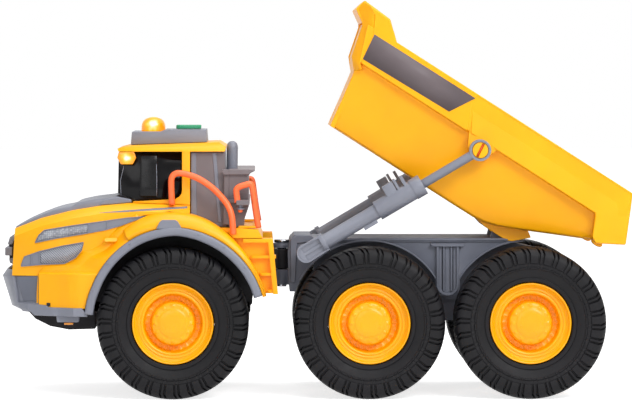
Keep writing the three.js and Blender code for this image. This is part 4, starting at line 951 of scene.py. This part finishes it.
def deck_edge():
    """Raised yellow step on the platform between the fender and the ladder."""
    return prism([(124.6, 89.9), (124.8, 91.2), (134.0, 91.2), (135.6, 89.9)], 38.6, 44.9)


front_piece("belly", belly(), "dark", nodes=["front_chassis"], look=BLACK_PP_AND_SHADE, edge=0.4)
front_pair("belly_side", belly_side, "dark", look=BLACK_PP_AND_SHADE, edge=0.3)
front_pair("door_pane", side_pane, "black", look=PANE_ABS, edge=0)
front_pair("door_pane_painted_highlight", glint_strips, "black", look=GREY_ABS, edge=0)
beacon_at = Matrix.Translation(((mid("beacon").x - NOSE) / MM, 0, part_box("beacon")[1].z / MM - 6.7))
piece("beacon_lens", lens_dome(), TRUCK @ beacon_at, "front_unit", "amber", nodes=["beacon"], look=BEACON_LENS,
      edge=0)
front_piece("exhaust_pipe", exhaust(), "dark", nodes=["exhaust_stack"], look=GREY_ABS, edge=0)
front_pair("cab_rear_pillars", rear_columns, "grey", edge=0.4)
front_pair("cab_rear_panels", rear_panels, "grey", look=GREY_ABS_PAINTED_SHADE, edge=0.1)
# the air cleaner is coloured in the same painted shade
front_piece("air_cleaner", air_cleaner(), "grey", nodes=["air_box"], look=GREY_ABS_PAINTED_SHADE, edge=0.5)
front_pair("air_cleaner_wrap", air_cleaner_wrap, "grey", look=GREY_ABS_PAINTED_SHADE, edge=0.4)
front_pair("front_rail", front_rail, "orange", node="handrail_front_{}", edge=0)
front_pair("rear_rail", rear_rail, "orange", node="handrail_rear_{}", edge=0)
front_pair("wing_stud", wing_stud, "grey", edge=0.15)
front_pair("wing_lamp", wing_lamp, "orange", edge=0)
front_pair("ladder_back", ladder_back, "yellow", edge=0.2)
front_pair("deck_step", deck_edge, "yellow", edge=0.5)

# ------------------------------------------------------------ dump bed, in its own frame
# half width over the side bands, height of the rim, height of the bands' lower edge
BED_W, RIM_Z, BAND_Z = 43.5, 53.8, 34.2
# stations of the tub: x at the floor, floor height, inner floor height, x at the band, x at the rim, floor half width
TUB = [(-106.6, -2.5, -0.3, -112.0, -119.0, 31.6), (-104, -2.5, -0.3, -109, -115, 31.8),
       (-60, -2.5, -0.3, -63, -66, 32), (-30, -2.5, -0.3, -33, -34, 32), (-16, -2.4, 4.6, -19, -20, 32),
       (-9, -1.5, 7.0, -12, -12, 32.2), (-3, 0.3, 8.0, -6, -6, 32.4), (3, 2.9, 8.8, 0, 0, 32.8),
       (11, 6.4, 11.6, 8, 6, 33.4), (20, 10.6, 15.4, 16, 13, 34), (30, 15.2, 19.2, 25, 21, 34.8),
       (40, 19.8, 22.9, 34, 29, 36), (59.2, 28.8, 31.2, 55.0, 47.9, 38)]
PIN = (-32.2, 29.5)                            # where the cylinder is pinned to the side
HINGE_GAP = (-10.6, 11.4)                      # where the floor is raised over the frame's ears, along


def tub():
    """Sides and floor in one shell, with round lower corners."""
    rings = []
    for xf, zf, zi, xb, xr, w in TUB:
        def at(y, z):
            if z <= BAND_Z:
                return (xf + (xb - xf) * (z - zf) / max(1, BAND_Z - zf), y, z)
            return (xb + (xr - xb) * (z - BAND_Z) / (RIM_Z - BAND_Z), y, z)
        low = max(zf, 4.8) if HINGE_GAP[0] < xf < HINGE_GAP[1] else zf
        inside = [at(0, zi), at(20, zi), at(w - 5.2, zi), at(w - 3.4, zi + 0.7), at(w - 2.4, zi + 2.6),
                  at(36.4, max(BAND_Z, zi + 4)), at(38.8, max(36.4, zi + 5)), at(40.4, max(38.2, zi + 6)),
                  at(40.6, RIM_Z - 0.3)]
        outside = [at(42.2, RIM_Z - 0.3), at(42.2, max(BAND_Z + 0.8, zf + 4)), at(38.6, max(BAND_Z - 0.2, zf + 3))]
        if zf < 20:
            outside += [at(w + (38.6 - w) * 0.35, zf + (BAND_Z - zf) * 0.35), at(w, zf + 2.6)]
        else:
            outside += [at(w + 0.4, zf + 2.4), at(w, zf + 1.6)]
        floor = [at(w - 0.8, zf + 1.0), at(w - 2.4, zf + 0.2), at(w - 5, zf), at(20.6, zf), at(20, low), at(0, low)]
        half = inside + outside + floor
        rings.append(half + [(x, -y, z) for x, y, z in half[-2:0:-1]])
    return grid(rings)


def front_wall():
    """Front plate: leaning, then turned forward under the guard."""
    outer = [(-106.0, -2.5), (-106.7, -1.2), (-106.8, 0.4), (-111.4, 28.4), (-116.2, 34.8), (-120.6, 53.0)]
    inner = [(-119.2, 53.8), (-115.0, 36.4), (-109.6, 28.8), (-105.0, 2.4), (-104.2, -0.2), (-104.0, -2.5)]
    rings = []
    for y in (-37.6, -36.4, 0, 36.4, 37.6):
        slim = 0.7 if abs(y) > 37 else 0
        shape = [(x + slim, z) for x, z in outer] + inner
        rings.append([(x, min(abs(y), 32.2 + 0.16 * max(0, z)) * math.copysign(1, y), z) for x, z in shape])
    return grid(rings)


def front_strip():
    """Broad chamfer between a side and the front plate."""
    rings = []
    for (xi, zi), (xo, zo), yo in (((-108.6, 31.6), (-111.8, 28.6), 36), ((-111.2, 34.0), (-117.2, 34.9), 36.4),
                                   ((-113.8, 50.6), (-121.2, 51.2), 37.2), ((-115.8, 54.4), (-123.4, 54.6), 37.4),
                                   ((-118.4, 59.4), (-128.0, 57.6), 37.6), ((-124.6, 62.6), (-127.2, 62.4), 37.8)):
        rings.append([(xi, 42.4, zi), (xi * 0.6 + xo * 0.4, 41.2, zi * 0.6 + zo * 0.4), (xo, yo, zo),
                      (xo + 1.6, yo - 1.4, zo), (xi + 0.6, 39.6, zi)])
    return grid(rings)


def guard_roof():
    """Top of the guard, over the front edge."""
    return prism([(-121.8, 52.6), (-128.6, 57.0), (-127.0, 63.4), (-110.2, 62.3), (-106.0, 58.6), (-107.6, 57.0),
                  (-111.2, 60.2), (-124.9, 61.0), (-126.0, 57.8), (-120.2, 54.0)], -38.0, 38.0)


def front_band():
    """Upper band of the side, running up into the cheek of the guard."""
    return prism([(-113.8, 50.6), (-111.0, 34.2), (-44.4, 34.2), (-46.0, 40), (-50.2, 49), (-49, 53.8), (-100.6, 53.6),
                  (-105.0, 57.6), (-111.0, 62.1), (-124.8, 62.7), (-118.2, 59.2)], 38.4, 42.4)


def rear_band():
    """Upper band behind the boss, and the upright flange at the tail."""
    outline = [(-49.6, 53.8), (-50.4, 49), (-42, 34.2), (36.2, 34.2), (37.2, 32.8), (41.8, 22.8), (45.0, 20.8),
               (48.0, 22.4), (59.2, 28.8), (47.9, 53.8)]
    return grid([[(x, 37.0, z) for x, z in outline], [(x, BED_W - 0.12 * max(0, z - 34), z) for x, z in outline]])


def rim_lip():
    """Light ledge along the top of a side."""
    return prism([(-101.0, 52.9), (-101.4, 53.8), (47.9, 53.8), (48.2, 52.9)], 40.2, 42.5)


def boss():
    """Faceted boss that carries the cylinder's pin, fading into the band above it."""
    outline = [(-49.3, 49.9), (-45.8, 41.5), (-42.7, 33.5), (-39.8, 28.0), (-36.2, 24.8), (-31.0, 24.4), (-27.2, 29.5),
               (-25.2, 35.0), (-23.1, 40.1)]
    inner = [(PIN[0] + 5.2 * math.cos(math.radians(a)), PIN[1] + 5.2 * math.sin(math.radians(a)))
             for a in (130, 150, 170, 195, 230, 283, 330, 370, 410)]
    return grid([[(x, 36, z) for x, z in outline], [(x, 42.5 - 0.07 * max(0, z - 34), z) for x, z in outline],
                 [(x, BED_W + 0.1, z) for x, z in inner]])


def side_sticker():
    """Bare parallelogram sticker on the front band."""
    return prism([(-113.0, 50.9), (-111.2, 36.6), (-57.8, 37.8), (-49.9, 51.2)], 42.3, 42.6)


def hinge_block():
    """Yellow runner under the floor that sits on the frame beside the hinge ears."""
    return prism([(-14, -1.8), (-8, -3.4), (6.4, -3.4), (9.0, -2.0), (16.4, 5.0), (12, 8), (-6, 3)], 20.4, 24.4)


def tail_lobe():
    """Small round foot under the tail."""
    lobe = [(46.4 + 3.2 * math.cos(t), 21.6 + 1.7 * math.sin(t)) for t in (2 * math.pi * i / 20 for i in range(20))]
    return prism(lobe, 30.5, 36.8)


def bed_lug():
    """Lug on the hinge pin."""
    return prism([(-4, 6.2)] + around(4, 180, 360, 14, 0, 0) + [(4, 6.2)], 9.1, 12.7)


piece("bed_tub", tub(), BED, "dump_bed", "yellow", nodes=["dump_bed"], edge=0.5)
piece("bed_front_plate", front_wall(), BED, "dump_bed", "yellow", edge=0.8)
bed_pair("bed_front_strip", front_strip, edge=0.5)
piece("bed_guard_roof", guard_roof(), BED, "dump_bed", "yellow", edge=0.6)
bed_pair("bed_front_band", front_band, edge=0.7)
bed_pair("bed_rear_band", rear_band, edge=0.8)
bed_pair("bed_rim_lip", rim_lip, edge=0.4)
bed_pair("bed_boss", boss, edge=0.3)
bed_pair("bed_sticker", side_sticker, look=STICKER_VINYL, edge=0)
bed_pair("bed_runner", hinge_block, edge=0.5)
bed_pair("bed_tail_lobe", tail_lobe, edge=0.5)
bed_pair("bed_lug", bed_lug, edge=0.3)

# ------------------------------------------------------------ rear frame
MID_X, REAR_X, RAIL_W = AXLES["middle"], AXLES["rear"], 24
U_X = (MID_X + REAR_X) / 2                     # middle of the stiffener between the wheels


def stiffener():
    """U-shaped boss on the frame's web between the wheels, with two ribs down its middle and a cap on top."""
    def u(r):
        return [(U_X - r, 79.4)] + around(r, 180, 360, 16, U_X, 59) + [(U_X + r, 79.4)]
    ribs = [prism([(x - 0.55, 55.4), (x + 0.55, 55.4), (x + 0.55, 79.4), (x - 0.55, 79.4)], RAIL_W - 0.2, RAIL_W + 2.2)
            for x in (U_X - 2, U_X + 2)]
    cap = prism([(U_X - 9, 80.2), (U_X - 8, 79.2), (U_X + 8, 79.2), (U_X + 9, 80.2), (U_X + 9, 81), (U_X - 9, 81)],
                RAIL_W - 0.2, RAIL_W + 3)
    return joined(prism(u(6.0) + u(4.7)[::-1], RAIL_W - 0.2, RAIL_W + 2.6), *ribs, cap)


def wheel_flange(x, end):
    """Thin flange that follows the wheel where the web is cut for it."""
    def make():
        return prism(around(42.9, 150, end, 40, x) + around(42.05, end, 150, 40, x), RAIL_W - 1, RAIL_W + 1.8)
    return make


def rail_edge():
    """Flange along the top of the frame's side."""
    return prism([(165, 82.4), (165, 83.6), (266.6, 83.6), (268.6, 83.2), (268.6, 82.4)], RAIL_W - 0.4, RAIL_W + 1.6)


def front_gusset():
    """Webbed corner block over the hitch."""
    return prism([(152.4, 60), (152.4, 83.4), (155.6, 85.2), (163.6, 85.2), (165.6, 83.6), (165.6, 82), (156, 81),
                  (155, 60)], RAIL_W - 0.4, RAIL_W + 1.4)


frame_pair("frame_stiffener", stiffener, edge=0.25)
frame_pair("frame_flange_middle", wheel_flange(MID_X, 30), edge=0.2)
frame_pair("frame_flange_rear", wheel_flange(REAR_X, 103), edge=0.2)
frame_pair("frame_rail_edge", rail_edge, edge=0.25)
frame_pair("frame_gusset", front_gusset, edge=0.4)

# ------------------------------------------------------------ cylinders
EYE_AT = 106.75                                # eye of the rod from the foot pin, along


def foot_rib():
    """Raised edge round the foot of a barrel, open towards the collar."""
    rim = [(10, 4.6)] + around(5, 90, 270, 20, 0, 0) + [(10, -4.6)]
    core = [(10, 3.7)] + around(4, 90, 270, 20, 0, 0) + [(10, -3.7)]
    return prism(rim + core[::-1], 2.6, 3.9)


def slot_shade_floor():
    """A red-orange plate at the bottom of the screwdriver slot, its colour painted shade."""
    c, s = math.cos(TILT), math.sin(TILT)
    return prism([(EYE_AT + a * c - b * s, a * s + b * c)
                  for a, b in ((-3.7, -0.62), (3.7, -0.62), (3.7, 0.62), (-3.7, 0.62))], 1.6, 1.85)


pair("cylinder_foot_rib", foot_rib, STRUT, "barrel_{}", "grey", edge=0.2)
pair("pin_slot_shade", slot_shade_floor, STRUT, "rod_{}", "yellow", look=SLOT_PAINTED_SHADE, edge=0)

# ------------------------------------------------------------ CAD nodes that keep their own shape
SPECIAL = {"cab_lamp_left": LAMP_LENS, "cab_lamp_right": LAMP_LENS}
SOFT = {"cab_roof": 0.9, "body_shell": 0.6, "cab_rear": 0.5, "roof_module": 0.6}      # edge radii other than 0.35
for row in frame["record"]["subparts"]:
    node = frame["nodes"][row["node"]]
    if not node.hide_render:
        dress(node, SPECIAL.get(row["node"], LOOKS[row["material_slot"]]))
        soften(node, SOFT.get(row["node"], 0.35))


# ------------------------------------------------------------ floor, lights and camera
def seen_directly(tree):
    """1 where a camera, glossy or transmission ray arrives, 0 where the lamps' light does."""
    rays = add(tree, "LightPath")
    direct = add(tree, "Math", {"operation": "MAXIMUM"}, n0=rays.outputs["Is Camera Ray"],
                 n1=rays.outputs["Is Glossy Ray"])
    return add(tree, "Math", {"operation": "MAXIMUM"}, n0=direct.outputs[0],
               n1=rays.outputs["Is Transmission Ray"]).outputs[0]


def paper_floor():
    """White paper that takes the shadow and is lifted towards white where it is seen."""
    mesh = bpy.data.meshes.new("floor")
    mesh.from_pydata([(-6, -6, 0), (6, -6, 0), (6, 6, 0), (-6, 6, 0)], [], [(0, 1, 2, 3)])
    floor = bpy.data.objects.new("floor", mesh)
    bpy.context.scene.collection.objects.link(floor)
    mat, tree = blank("white_paper_sweep")
    paper = add(tree, "BsdfDiffuse", Color=(0.8, 0.8, 0.8, 1))
    lift = add(tree, "Math", {"operation": "MULTIPLY"}, n0=seen_directly(tree), n1=0.74)
    white = add(tree, "Emission", Color=(1, 1, 1, 1), Strength=lift.outputs[0])
    close(tree, add(tree, "AddShader", n0=paper.outputs[0], n1=white.outputs[0]))
    mesh.materials.append(mat)


def white_world():
    """White where it is seen, and a dim even light on the truck."""
    world = bpy.data.worlds.new("studio")
    bpy.context.scene.world = world
    world.use_nodes = True
    tree = world.node_tree
    tree.nodes.clear()
    dim = add(tree, "Background", Color=(1, 1, 1, 1), Strength=0.42)
    white = add(tree, "Background", Color=(1, 1, 1, 1), Strength=1.0)
    both = add(tree, "MixShader", n0=seen_directly(tree), n1=dim.outputs[0], n2=white.outputs[0])
    add(tree, "OutputWorld", Surface=both.outputs[0])


def softbox(name, where, size, power):
    """A soft lamp aimed at the middle of the truck."""
    light = bpy.data.lights.new(name, "AREA")
    light.shape = "RECTANGLE"
    light.size, light.size_y = size
    light.energy = power
    lamp = bpy.data.objects.new(name, light)
    bpy.context.scene.collection.objects.link(lamp)
    lamp.location = where
    lamp.rotation_euler = (Vector((0, 0, 0.1)) - Vector(where)).to_track_quat("-Z", "Y").to_euler()


CAMERA_AT, CAMERA_TO = (-0.029, -1.958, 0.173), (-0.0008, -0.058, 0.1048)


def camera():
    """A long lens, level with the bed, looking at the near side."""
    data = bpy.data.cameras.new("camera")
    data.lens = 206.5
    data.clip_start, data.clip_end = 0.05, 50
    cam = bpy.data.objects.new("camera", data)
    bpy.context.scene.collection.objects.link(cam)
    cam.location = CAMERA_AT
    cam.rotation_euler = (Vector(CAMERA_TO) - Vector(CAMERA_AT)).to_track_quat("-Z", "Y").to_euler()
    bpy.context.scene.camera = cam


paper_floor()
white_world()
softbox("key", (0.7, -1.2, 1.0), (0.8, 0.6), 16)
softbox("top", (0.1, -0.2, 1.4), (1.2, 1.0), 12)
softbox("front", (-0.5, -1.7, 0.6), (0.8, 0.6), 4)
camera()
bpy.context.scene.view_settings.view_transform = "Standard"
